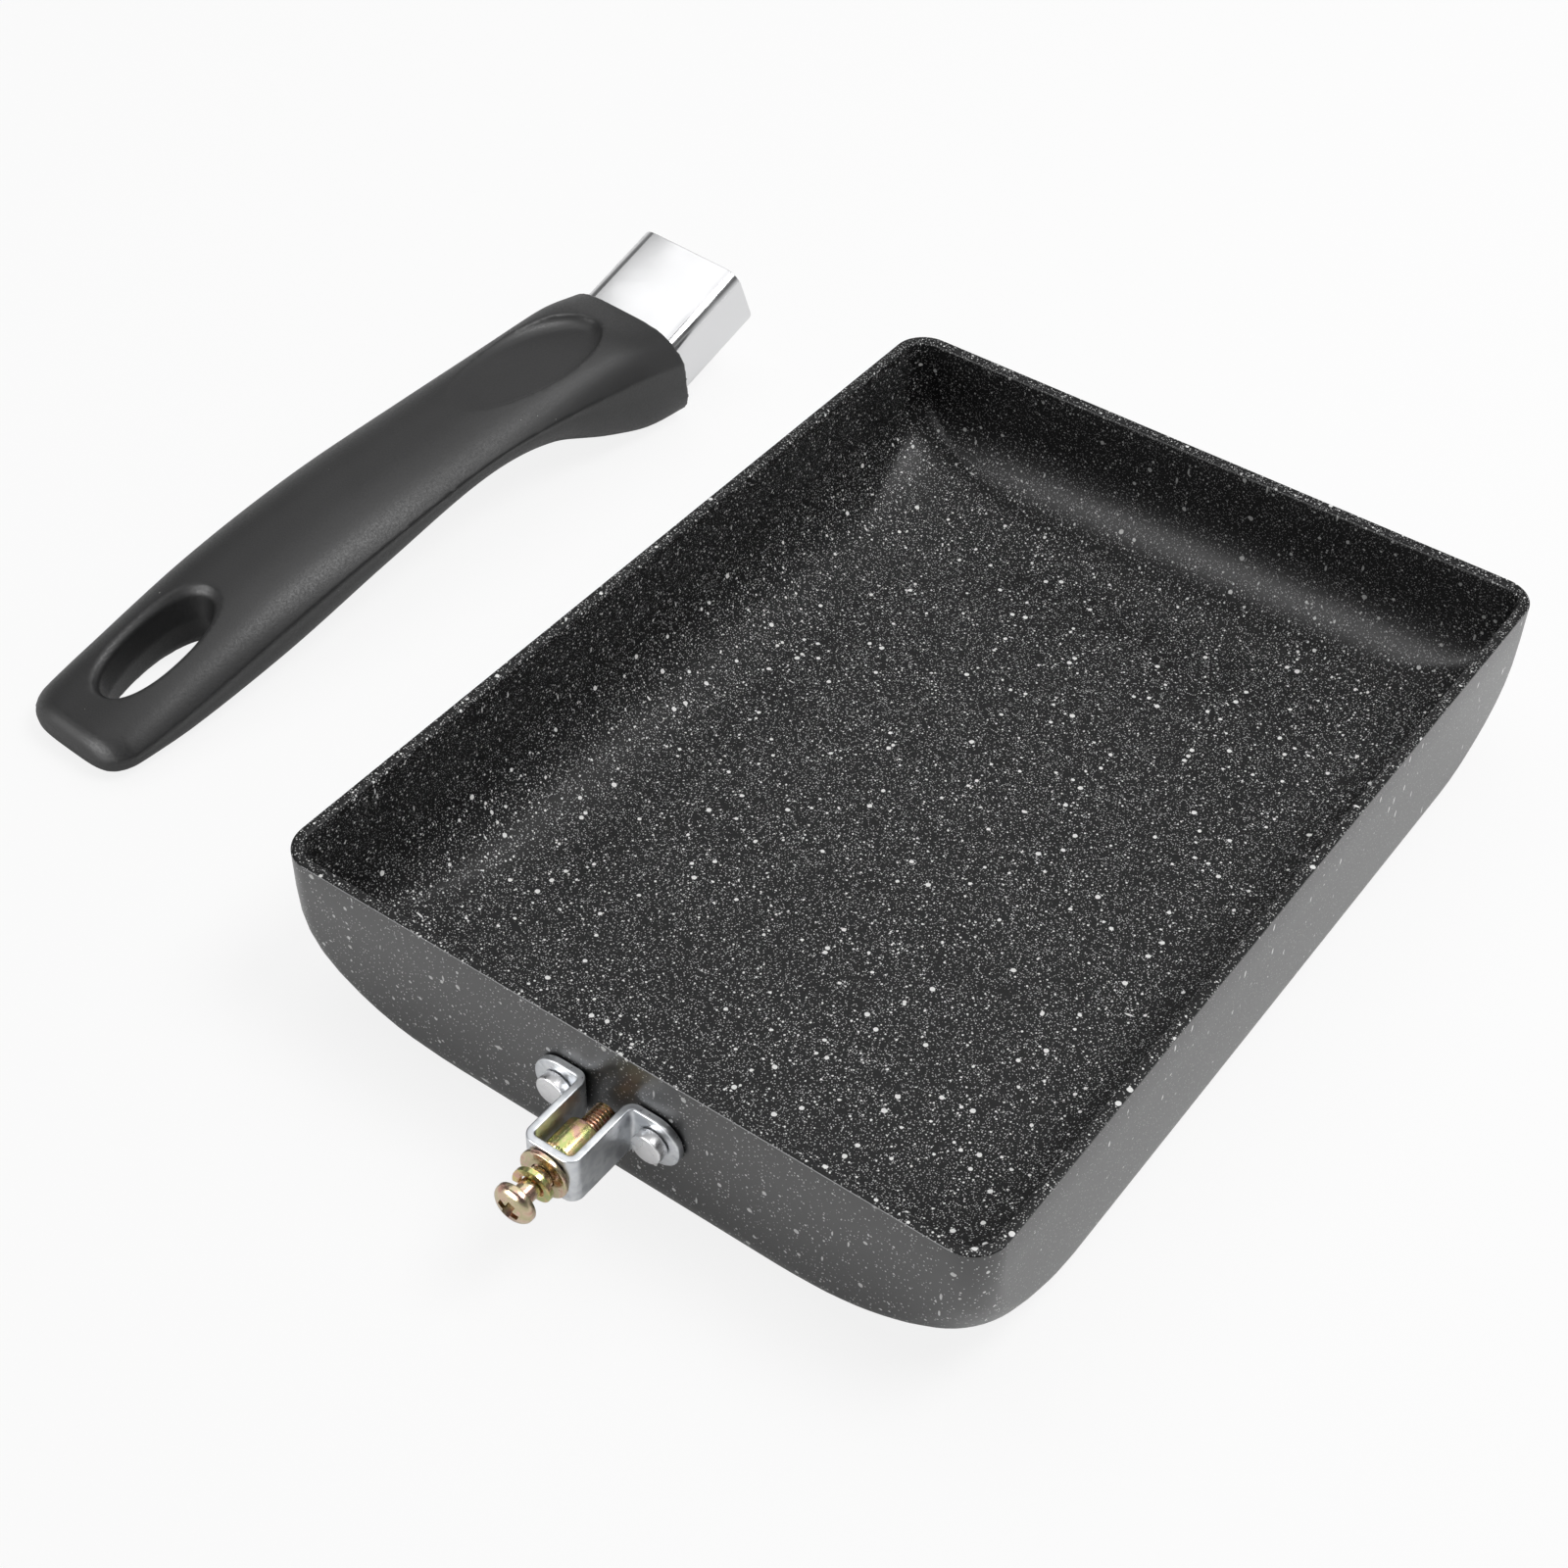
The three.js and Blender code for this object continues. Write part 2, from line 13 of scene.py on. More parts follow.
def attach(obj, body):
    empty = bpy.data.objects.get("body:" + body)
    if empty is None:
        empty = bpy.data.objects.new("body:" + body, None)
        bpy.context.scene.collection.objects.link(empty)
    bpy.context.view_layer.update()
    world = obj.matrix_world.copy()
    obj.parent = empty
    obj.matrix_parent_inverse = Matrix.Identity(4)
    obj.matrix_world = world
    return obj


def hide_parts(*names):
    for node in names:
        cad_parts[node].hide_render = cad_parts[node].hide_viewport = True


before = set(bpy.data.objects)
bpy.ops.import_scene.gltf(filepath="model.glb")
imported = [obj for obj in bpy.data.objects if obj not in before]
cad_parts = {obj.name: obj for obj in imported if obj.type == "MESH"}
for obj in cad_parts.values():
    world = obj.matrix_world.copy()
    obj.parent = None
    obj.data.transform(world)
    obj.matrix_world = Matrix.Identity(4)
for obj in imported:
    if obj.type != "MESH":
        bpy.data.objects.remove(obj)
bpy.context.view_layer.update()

print("solids:", sorted(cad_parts))

# %% [markdown]
# ## Tools of the bench
# Every operator works on whatever is selected, so each step starts from an empty selection. Sizes are
# written in millimetres, as on a drawing, and turned into Blender's metres by one factor.

# %% Selecting by place
MM = 0.001
DRILL_SIDES = 48
DRILL_OVERRUN = 1


def clear_selection():
    if bpy.context.mode != "OBJECT":
        bpy.ops.object.mode_set(mode="OBJECT")
    bpy.ops.object.select_all(action="DESELECT")


def activate(piece):
    clear_selection()
    piece.select_set(True)
    bpy.context.view_layer.objects.active = piece


def select_by_place(piece, kind, test):
    """Opens the piece in edit mode with the points, edges or faces whose middle passes the test."""
    activate(piece)
    bpy.ops.object.mode_set(mode="EDIT")
    bpy.ops.mesh.select_mode(type=kind)
    bpy.ops.mesh.select_all(action="DESELECT")
    bpy.ops.object.mode_set(mode="OBJECT")
    points = piece.data.vertices
    if kind == "VERT":
        for point in points:
            point.select = test(point.co)
    elif kind == "EDGE":
        for edge in piece.data.edges:
            ends = [points[i].co for i in edge.vertices]
            edge.select = test(ends[0], ends[1])
    else:
        for face in piece.data.polygons:
            face.select = test(face.center, face.normal)
    bpy.ops.object.mode_set(mode="EDIT")
    bpy.ops.mesh.select_mode(type=kind)


def add_modifier(piece, kind, **values):
    """Puts one modifier on the piece and applies it."""
    activate(piece)
    modifier = piece.modifiers.new(kind.lower(), kind)
    for name, value in values.items():
        setattr(modifier, name, value)
    bpy.ops.object.modifier_apply(modifier=modifier.name)


def settle(piece, smooth_angle=35):
    """Puts the piece's place into its mesh, closes doubles, turns the faces out and smooths them."""
    activate(piece)
    bpy.ops.object.transform_apply(location=True, rotation=True, scale=True)
    bpy.ops.object.mode_set(mode="EDIT")
    bpy.ops.mesh.select_all(action="SELECT")
    bpy.ops.mesh.remove_doubles(threshold=0.002 * MM)
    bpy.ops.mesh.normals_make_consistent(inside=False)
    bpy.ops.object.mode_set(mode="OBJECT")
    bpy.ops.object.shade_smooth_by_angle(angle=math.radians(smooth_angle))
    print(piece.name, len(piece.data.polygons), "faces")
    return piece


def cut_away(piece, tool):
    add_modifier(piece, "BOOLEAN", object=tool, operation="DIFFERENCE", solver="EXACT")
    bpy.data.objects.remove(tool)


def drill(piece, radius, x, z, start, end):
    """Cuts a round hole along the Y direction, running a little past both ends."""
    start, end = start - DRILL_OVERRUN, end + DRILL_OVERRUN
    clear_selection()
    bpy.ops.mesh.primitive_cylinder_add(
        vertices=DRILL_SIDES, radius=radius * MM, depth=(end - start) * MM,
        location=(x * MM, (start + end) / 2 * MM, z * MM), rotation=(math.pi / 2, 0, 0),
    )
    drill_bit = bpy.context.object
    bpy.ops.object.transform_apply(location=True, rotation=True, scale=True)
    cut_away(piece, drill_bit)


def join_pieces(name, pieces):
    clear_selection()
    for piece in pieces:
        piece.select_set(True)
    bpy.context.view_layer.objects.active = pieces[0]
    bpy.ops.object.join()
    joined = bpy.context.object
    joined.name = name
    return joined


# %% [markdown]
# ## The camera
# The photograph looks down on the pan from its front right corner. Its place, tilt and lens were
# worked out from the rim's four corners, so the render lines up with the picture.

# %% Camera
CAMERA_AIM = Vector((-12.9, -33.44, 36)) * MM
CAMERA_DISTANCE = 480.61 * MM
CAMERA_TURN = math.radians(35.13)
CAMERA_RISE = math.radians(44.16)
CAMERA_ROLL = math.radians(1.42)
SENSOR = 36
LENS = 60.53

back = Vector((
    math.sin(CAMERA_TURN) * math.cos(CAMERA_RISE),
    -math.cos(CAMERA_TURN) * math.cos(CAMERA_RISE),
    math.sin(CAMERA_RISE),
))
level = Vector((math.cos(CAMERA_TURN), math.sin(CAMERA_TURN), 0))
upward = back.cross(level)
right = level * math.cos(CAMERA_ROLL) + upward * math.sin(CAMERA_ROLL)
upward = back.cross(right)
camera = bpy.data.objects.new("camera", bpy.data.cameras.new("camera"))
bpy.context.scene.collection.objects.link(camera)
camera.data.sensor_width = SENSOR
camera.data.lens = LENS
camera.data.clip_start = 10 * MM
camera.data.clip_end = 20
camera.matrix_world = Matrix.Translation(CAMERA_AIM + back * CAMERA_DISTANCE) @ Matrix(
    (right, upward, back)
).transposed().to_4x4()
bpy.context.scene.camera = camera
print("camera at", [round(x, 3) for x in camera.location])

# %% [markdown]
# ## Table and light
# The picture was taken on a white sweep. A wide pale floor stands for it: it gives light back to the
# walls like the real table, and keeps a faint shadow. Rays from the camera and from shiny metal see
# it mostly as white. Three soft boxes hang above: a wide one over the handle's side, a small one
# behind and one over the right. A card in front is seen only in gloss, and the room is dimmer there.

# %% Floor
FLOOR_SIZE = 8
FLOOR_DROP = 0.2
PAPER = 0.86
WHITE_TO_EYE = 0.86
WHITE_TO_GLOSS = 0.14


def new_material(name):
    material = bpy.data.materials.new(name)
    material.use_nodes = True
    material.node_tree.nodes.clear()
    return material, material.node_tree.nodes, material.node_tree.links


def seen_as_white(nodes, links):
    """A share of white for rays from the eye, a smaller one for gloss and glass, and 0 otherwise."""
    path = nodes.new("ShaderNodeLightPath")
    most = None
    for ray, share in (
        ("Is Camera Ray", WHITE_TO_EYE),
        ("Is Glossy Ray", WHITE_TO_GLOSS),
        ("Is Transmission Ray", WHITE_TO_GLOSS),
    ):
        scaled = nodes.new("ShaderNodeMath")
        scaled.operation = "MULTIPLY"
        scaled.inputs[1].default_value = share
        links.new(path.outputs[ray], scaled.inputs[0])
        if most is None:
            most = scaled.outputs[0]
            continue
        pick = nodes.new("ShaderNodeMath")
        pick.operation = "MAXIMUM"
        links.new(most, pick.inputs[0])
        links.new(scaled.outputs[0], pick.inputs[1])
        most = pick.outputs[0]
    return most


clear_selection()
bpy.ops.mesh.primitive_plane_add(size=FLOOR_SIZE, location=(0, 0, -FLOOR_DROP * MM))
floor = bpy.context.object
floor.name = "floor"
paper, nodes, links = new_material("white_sweep")
bounce = nodes.new("ShaderNodeBsdfDiffuse")
bounce.inputs["Color"].default_value = (PAPER, PAPER, PAPER, 1)
glow = nodes.new("ShaderNodeEmission")
glow.inputs["Color"].default_value = (1, 1, 1, 1)
glow.inputs["Strength"].default_value = 1
blend = nodes.new("ShaderNodeMixShader")
links.new(seen_as_white(nodes, links), blend.inputs[0])
links.new(bounce.outputs[0], blend.inputs[1])
links.new(glow.outputs[0], blend.inputs[2])
links.new(blend.outputs[0], nodes.new("ShaderNodeOutputMaterial").inputs["Surface"])
floor.data.materials.append(paper)
print("floor", FLOOR_SIZE, "m wide")

# %% World and soft boxes
ROOM_OVERHEAD = 0.2
ROOM_HORIZON = 0.95
HORIZON_HEIGHT = 0.5
FRONT_SHARE = 0.45
BACK_SHARE = 1.12
FRONT_SIDE = -0.7
BACK_SIDE = 0.5
world = bpy.data.worlds.new("room")
bpy.context.scene.world = world
world.use_nodes = True
nodes, links = world.node_tree.nodes, world.node_tree.links
nodes.clear()
room = nodes.new("ShaderNodeBackground")
direction = nodes.new("ShaderNodeSeparateXYZ")
links.new(nodes.new("ShaderNodeTexCoord").outputs["Generated"], direction.inputs[0])
room_light = nodes.new("ShaderNodeMath")
room_light.operation = "MULTIPLY"
for socket, axis, limits in (
    (0, "Z", (0, HORIZON_HEIGHT, ROOM_HORIZON, ROOM_OVERHEAD)),
    (1, "Y", (FRONT_SIDE, BACK_SIDE, FRONT_SHARE, BACK_SHARE)),
):
    share = nodes.new("ShaderNodeMapRange")
    for label, value in zip(("From Min", "From Max", "To Min", "To Max"), limits):
        share.inputs[label].default_value = value
    links.new(direction.outputs[axis], share.inputs["Value"])
    links.new(share.outputs["Result"], room_light.inputs[socket])
links.new(room_light.outputs[0], room.inputs["Strength"])
white = nodes.new("ShaderNodeBackground")
white.inputs["Color"].default_value = (1, 1, 1, 1)
white.inputs["Strength"].default_value = 1
sky = nodes.new("ShaderNodeMixShader")
camera_ray = nodes.new("ShaderNodeLightPath")
links.new(camera_ray.outputs["Is Camera Ray"], sky.inputs[0])
links.new(room.outputs[0], sky.inputs[1])
links.new(white.outputs[0], sky.inputs[2])
links.new(sky.outputs[0], nodes.new("ShaderNodeOutputWorld").inputs["Surface"])


def soft_box(name, place, aim, width, height, power):
    lamp = bpy.data.lights.new(name, "AREA")
    lamp.shape = "RECTANGLE"
    lamp.size = width
    lamp.size_y = height
    lamp.energy = power
    holder = bpy.data.objects.new(name, lamp)
    bpy.context.scene.collection.objects.link(holder)
    holder.location = place
    holder.rotation_euler = (Vector(aim) - Vector(place)).to_track_quat("-Z", "Y").to_euler()
    return holder


soft_box("top_box", (-0.5, 0.4, 1.15), (-0.5, 0.4, 0), 1.1, 1.5, 5.8)
soft_box("back_box", (0.42, 0.8, 1), (0, 0, 0.02), 0.2, 0.6, 0.3)
soft_box("high_box", (0.5, 0.28, 1.15), (0.22, 0.1, 0), 0.6, 0.6, 10)
front_card = soft_box("front_card", (-0.4, -1.1, 0.5), (0, 0.1, 0.01), 1, 0.8, 15)
front_card.visible_diffuse = False
bpy.context.scene.view_settings.view_transform = "Standard"
print("room light", ROOM_OVERHEAD, "to", ROOM_HORIZON)

# %% [markdown]
# ## Shared shading groups
# Two effects come back on several finishes: specks with ragged edges, and an uneven grain that is fine
# for a skin or wide for slow clouds. Each is a small node group that puts out one value, so a finish
# only says how large and how strong it wants the effect.

# %% Groups
def value_group(name, inputs, output):
    group = bpy.data.node_groups.new(name, "ShaderNodeTree")
    group.interface.new_socket("Vector", in_out="INPUT", socket_type="NodeSocketVector")
    for label, start in inputs.items():
        socket = group.interface.new_socket(label, in_out="INPUT", socket_type="NodeSocketFloat")
        socket.default_value = start
    group.interface.new_socket(output, in_out="OUTPUT", socket_type="NodeSocketFloat")
    source = group.nodes.new("NodeGroupInput")
    result = group.nodes.new("NodeGroupOutput")
    return group, source, result


def math_node(tree, operation, first, second, third=None):
    node = tree.nodes.new("ShaderNodeMath")
    node.operation = operation
    for socket, value in zip(node.inputs, (first, second, third)):
        if isinstance(value, (int, float)):
            socket.default_value = value
        elif value is not None:
            tree.links.new(value, socket)
    return node.outputs[0]


# Specks: cells of a given pitch, each with a dot of its own radius
speckle, source, result = value_group(
    "speckle", {"Pitch mm": 0.5, "Radius": 0.4, "Spread": 0.6, "Softness": 0.1}, "Mask"
)
per_metre = math_node(speckle, "DIVIDE", 1000, source.outputs["Pitch mm"])
cells = speckle.nodes.new("ShaderNodeTexVoronoi")
cells.inputs["Randomness"].default_value = 1
ragged = speckle.nodes.new("ShaderNodeTexNoise")
speckle.links.new(source.outputs["Vector"], ragged.inputs["Vector"])
speckle.links.new(math_node(speckle, "MULTIPLY", per_metre, 5), ragged.inputs["Scale"])
push = speckle.nodes.new("ShaderNodeVectorMath")
push.operation = "MULTIPLY_ADD"
speckle.links.new(ragged.outputs["Color"], push.inputs[0])
speckle.links.new(math_node(speckle, "MULTIPLY", source.outputs["Pitch mm"], 0.12 * MM), push.inputs[1])
speckle.links.new(source.outputs["Vector"], push.inputs[2])
speckle.links.new(push.outputs[0], cells.inputs["Vector"])
speckle.links.new(per_metre, cells.inputs["Scale"])
draw = speckle.nodes.new("ShaderNodeSeparateColor")
speckle.links.new(cells.outputs["Color"], draw.inputs[0])
shrink = math_node(speckle, "MULTIPLY", source.outputs["Spread"], draw.outputs[0])
kept_share = math_node(speckle, "SUBTRACT", 1, shrink)
own_radius = math_node(speckle, "MULTIPLY", source.outputs["Radius"], kept_share)
inside = math_node(speckle, "SUBTRACT", own_radius, cells.outputs["Distance"])
mask = math_node(speckle, "DIVIDE", inside, source.outputs["Softness"])
clamped = speckle.nodes.new("ShaderNodeClamp")
speckle.links.new(mask, clamped.inputs[0])
speckle.links.new(clamped.outputs[0], result.inputs["Mask"])

# Grain: fine noise, as a height from 0 to 1
grain, source, result = value_group("grain", {"Pitch mm": 0.6, "Detail": 3, "Contrast": 1}, "Height")
noise = grain.nodes.new("ShaderNodeTexNoise")
grain.links.new(source.outputs["Vector"], noise.inputs["Vector"])
grain.links.new(math_node(grain, "DIVIDE", 1000, source.outputs["Pitch mm"]), noise.inputs["Scale"])
grain.links.new(source.outputs["Detail"], noise.inputs["Detail"])
centred = math_node(grain, "SUBTRACT", noise.outputs[0], 0.5)
height = math_node(grain, "MULTIPLY_ADD", centred, source.outputs["Contrast"], 0.5)
limited = grain.nodes.new("ShaderNodeClamp")
grain.links.new(height, limited.inputs[0])
grain.links.new(limited.outputs[0], result.inputs["Height"])
print("groups:", speckle.name, grain.name)


# %% Small shader helpers
def place_group(material, group, **values):
    tree = material.node_tree
    node = tree.nodes.new("ShaderNodeGroup")
    node.node_tree = group
    coordinates = tree.nodes.new("ShaderNodeTexCoord")
    vector = coordinates.outputs["Object"]
    stretch = values.pop("stretch", None)
    if stretch:
        mapping = tree.nodes.new("ShaderNodeMapping")
        mapping.inputs["Scale"].default_value = stretch
        mapping.inputs["Rotation"].default_value = values.pop("turn", (0, 0, 0))
        tree.links.new(vector, mapping.inputs["Vector"])
        vector = mapping.outputs[0]
    tree.links.new(vector, node.inputs["Vector"])
    for name, value in values.items():
        node.inputs[name.replace("_", " ")].default_value = value
    return node.outputs[0]


def ramp(material, factor, *stops):
    node = material.node_tree.nodes.new("ShaderNodeValToRGB")
    elements = node.color_ramp.elements
    while len(elements) < len(stops):
        elements.new(0.5)
    for element, (place, colour) in zip(elements, stops):
        element.position = place
        element.color = (*colour, 1) if isinstance(colour, tuple) else (colour, colour, colour, 1)
    material.node_tree.links.new(factor, node.inputs[0])
    return node.outputs[0]


def mix_colour(material, factor, first, second):
    node = material.node_tree.nodes.new("ShaderNodeMix")
    node.data_type = "RGBA"
    links = material.node_tree.links
    links.new(factor, node.inputs["Factor"])
    for socket, value in ((node.inputs[6], first), (node.inputs[7], second)):
        if isinstance(value, tuple):
            socket.default_value = (*value, 1)
        else:
            links.new(value, socket)
    return node.outputs[2]


def bump(material, height, distance_mm, strength=1.0, below=None):
    node = material.node_tree.nodes.new("ShaderNodeBump")
    node.inputs["Distance"].default_value = distance_mm * MM
    node.inputs["Strength"].default_value = strength
    links = material.node_tree.links
    links.new(height, node.inputs["Height"])
    if below:
        links.new(below, node.inputs["Normal"])
    return node.outputs[0]


def finish_material(name, constants):
    """A material with one Principled shader, its constant sockets set."""
    material, nodes, links = new_material(name)
    shader = nodes.new("ShaderNodeBsdfPrincipled")
    for socket, value in constants.items():
        shader.inputs[socket].default_value = value
    links.new(shader.outputs[0], nodes.new("ShaderNodeOutputMaterial").inputs["Surface"])
    return material, shader, links


# %% [markdown]
# ## Stone-look coat
# The pan is sprayed with a near-black non-stick coat that carries white mineral specks: a dense dust
# of tiny dots, fewer larger flecks and some short strokes. Inside the pan the dust is thick, outside it
# is thin. One function mixes both finishes from the same speckle group with its own amounts.

# %% Coat
def stone_coat(name, constants, rough, dust_mm, dust, flecks_mm, dust_colour):
    material, shader, links = finish_material(name, constants)
    tree = material.node_tree
    haze = place_group(material, grain, Pitch_mm=14, Detail=2, Contrast=1.6)
    base = ramp(material, haze, (0.2, (0.0042, 0.0043, 0.0046)), (0.8, (0.0066, 0.0067, 0.0072)))
    tiny = place_group(material, speckle, Pitch_mm=dust_mm, Radius=dust, Spread=0.6, Softness=0.07)
    small = place_group(
        material, speckle, Pitch_mm=2.6 * dust_mm, Radius=dust * 0.62, Spread=0.8, Softness=0.05
    )
    large = place_group(
        material, speckle, Pitch_mm=flecks_mm, Radius=0.19, Spread=0.8, Softness=0.015
    )
    runs = place_group(
        material, speckle, stretch=(1, 1, 0.3), turn=(0.06, 0.05, 0), Pitch_mm=2.6, Radius=0.12,
        Spread=0.8, Softness=0.03,
    )
    strokes = place_group(
        material, speckle, stretch=(0.25, 1, 0.7), turn=(0.2, 0, -0.35), Pitch_mm=6, Radius=0.055,
        Spread=0.8, Softness=0.015,
    )
    dusted = mix_colour(material, tiny, base, dust_colour)
    dots = math_node(tree, "MAXIMUM", large, small)
    bright = math_node(tree, "MAXIMUM", dots, math_node(tree, "MAXIMUM", runs, strokes))
    colour = mix_colour(material, bright, dusted, (0.82, 0.82, 0.81))
    links.new(colour, shader.inputs["Base Color"])
    orange_peel = place_group(material, grain, Pitch_mm=0.7, Detail=3, Contrast=1.2)
    links.new(ramp(material, orange_peel, (0.1, rough[0]), (0.9, rough[1])), shader.inputs["Roughness"])
    raised = math_node(tree, "MAXIMUM", tiny, bright)
    links.new(
        bump(material, raised, 0.02, 0.3, bump(material, orange_peel, 0.03, 0.4)), shader.inputs["Normal"]
    )
    return material


coat_inside = stone_coat(
    "stone_coat_inside", {"Specular IOR Level": 0.27},
    (0.34, 0.46), 0.4, 0.42, 3.1, (0.42, 0.42, 0.42),
)
coat_outside = stone_coat(
    "stone_coat_outside", {"IOR": 1.6, "Specular IOR Level": 0.7, "Coat Weight": 0.7, "Coat Roughness": 0.3},
    (0.34, 0.44), 0.66, 0.29, 3.3, (0.7, 0.7, 0.7),
)
print("coats:", coat_inside.name, coat_outside.name)

# %% [markdown]
# ## The pan
# A pressed pan has upright walls with sharp rim corners, and its corners swell into a wide round
# towards the base. It could be a box with bevels, but the corner radius changes with depth, so it is
# skinned over loops instead: each loop is a flat plane with its corners bevelled, and neighbouring
# loops are bridged, up the outside, over the rim and down to the cooking floor. The wall is then
# drilled for the two rivets of the bracket.

# %% Loops of the pan
PAN_HALF_WIDTH = 75
PAN_HALF_LENGTH = 101.5
PAN_HEIGHT = 36
WALL = 2.4
BASE_THICKNESS = 2.8
RIM_CORNER = 7
BASE_CORNER = 58
OUTER_FILLET = 7
INNER_FILLET = 19
CORNER_SWELL = 4.6
RIM_ROUND = 0.8
RIM_OUTER_ROUND = 0.35
RIM_CROWN = 0.04
CORNER_STEPS = 16


def corner_loop(inset, depth, full_depth, rim_corner, base_corner):
    """One outline of the pan as an edge loop: a plane of that size with its corners rounded."""
    swell = (depth / full_depth) ** CORNER_SWELL
    corner = rim_corner + (base_corner - rim_corner) * swell
    clear_selection()
    bpy.ops.mesh.primitive_plane_add(size=2 * MM, location=(0, 0, (PAN_HEIGHT - depth) * MM))
    loop = bpy.context.object
    loop.scale = (PAN_HALF_WIDTH - inset, PAN_HALF_LENGTH - inset, 1)
    bpy.ops.object.transform_apply(location=True, rotation=False, scale=True)
    bpy.ops.object.mode_set(mode="EDIT")
    bpy.ops.mesh.select_all(action="SELECT")
    bpy.ops.mesh.bevel(offset=corner * MM, segments=CORNER_STEPS, profile=0.5, affect="VERTICES")
    bpy.ops.mesh.delete(type="ONLY_FACE")
    bpy.ops.object.mode_set(mode="OBJECT")
    return loop


def bridge_loops(name, loops):
    """Joins edge loops into one object and bridges each to the next, then closes both ends."""
    labels = [f"loop_{number:03d}" for number in range(len(loops))]
    for label, loop in zip(labels, loops):
        group = loop.vertex_groups.new(name=label)
        group.add(range(len(loop.data.vertices)), 1, "REPLACE")
    piece = join_pieces(name, loops)

    def pick(*chosen):
        bpy.ops.mesh.select_all(action="DESELECT")
        for label in chosen:
            piece.vertex_groups.active = piece.vertex_groups[label]
            bpy.ops.object.vertex_group_select()

    bpy.ops.object.mode_set(mode="EDIT")
    bpy.ops.mesh.select_mode(type="VERT")
    for lower, upper in zip(labels, labels[1:]):
        pick(lower, upper)
        bpy.ops.mesh.bridge_edge_loops()
    for end in (labels[0], labels[-1]):
        pick(end)
        bpy.ops.mesh.edge_face_add()
    bpy.ops.object.mode_set(mode="OBJECT")
    piece.vertex_groups.clear()
    return piece


# %% Pan shell
FILLET_STEPS = 12
WALL_LEVELS = (0.3, 0.5, 0.64, 0.76, 0.86, 0.94)
inner_depth = PAN_HEIGHT - BASE_THICKNESS


def outer_loop(inset, depth):
    return corner_loop(inset, depth, PAN_HEIGHT, RIM_CORNER, BASE_CORNER)


def inner_loop(inset, depth):
    return corner_loop(inset, depth, inner_depth, RIM_CORNER - WALL, BASE_CORNER - INNER_FILLET)


def quarter(steps):
    return [math.pi / 2 * step / steps for step in range(steps + 1)]


pan_loops = []
outer_wall = PAN_HEIGHT - OUTER_FILLET
for angle in reversed(quarter(FILLET_STEPS)):
    inset = OUTER_FILLET * (1 - math.cos(angle))
    pan_loops.append(outer_loop(inset, outer_wall + OUTER_FILLET * math.sin(angle)))
for share in reversed(WALL_LEVELS):
    pan_loops.append(outer_loop(0, outer_wall * share))
for angle in quarter(4):
    inset = RIM_OUTER_ROUND * (1 - math.cos(angle))
    pan_loops.append(outer_loop(inset, RIM_CROWN + RIM_OUTER_ROUND * (1 - math.sin(angle))))
pan_loops.append(outer_loop(WALL / 2, 0))
for angle in reversed(quarter(4)):
    inset = WALL - RIM_ROUND * (1 - math.cos(angle))
    pan_loops.append(inner_loop(inset, RIM_CROWN + RIM_ROUND * (1 - math.sin(angle))))
inner_wall = inner_depth - INNER_FILLET
for share in WALL_LEVELS:
    pan_loops.append(inner_loop(WALL, inner_wall * share))
for angle in quarter(FILLET_STEPS):
    inset = WALL + INNER_FILLET * (1 - math.cos(angle))
    pan_loops.append(inner_loop(inset, inner_wall + INNER_FILLET * math.sin(angle)))
pan_shell = bridge_loops("pan_shell", pan_loops)
print("pan skinned over", len(pan_loops), "loops")

# %% Rivet holes
BRACKET_X = 1.2
BRACKET_Z = 21.2
RIVET_PITCH = 20.6
RIVET_HOLE = 2.05
ROUND_DEPTH = 1
for side in (-1, 1):
    drill(
        pan_shell, RIVET_HOLE, BRACKET_X + side * RIVET_PITCH / 2, BRACKET_Z,
        -PAN_HALF_LENGTH, -PAN_HALF_LENGTH + WALL + ROUND_DEPTH,
    )
print("wall drilled for two rivets")

# %% Pan finish
FLAT_BORDER = 3
for flat_z in (0, BASE_THICKNESS * MM):
    select_by_place(
        pan_shell, "FACE", lambda middle, normal: abs(middle.z - flat_z) < 0.01 * MM and abs(normal.z) > 0.99
    )
    bpy.ops.mesh.inset(thickness=FLAT_BORDER * MM)
settle(pan_shell, 50)
pan_shell.data.materials.append(coat_outside)
pan_shell.data.materials.append(coat_inside)


def is_inside(middle, normal):
    """Faces of the cooking side: they look up, or look towards the pan's middle."""
    across = middle.x * normal.x + middle.y * normal.y
    return normal.z > 0.6 or (normal.z > -0.2 and across < 0 and middle.z > BASE_THICKNESS * MM)


select_by_place(pan_shell, "FACE", is_inside)
pan_shell.active_material_index = 1
bpy.ops.object.material_slot_assign()
clear_selection()
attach(pan_shell, "pan")
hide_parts("pan_body")

# %% [markdown]
# ## Zinc, aluminium and yellow plate
# The bracket is pressed steel with a blue-white zinc plate, the rivets are plain aluminium, and the
# screw set has a yellow plate that shifts from gold to green and rose. All three are metals, so the
# colour sits in the base colour, and slow clouds of roughness keep them from looking like mirrors.

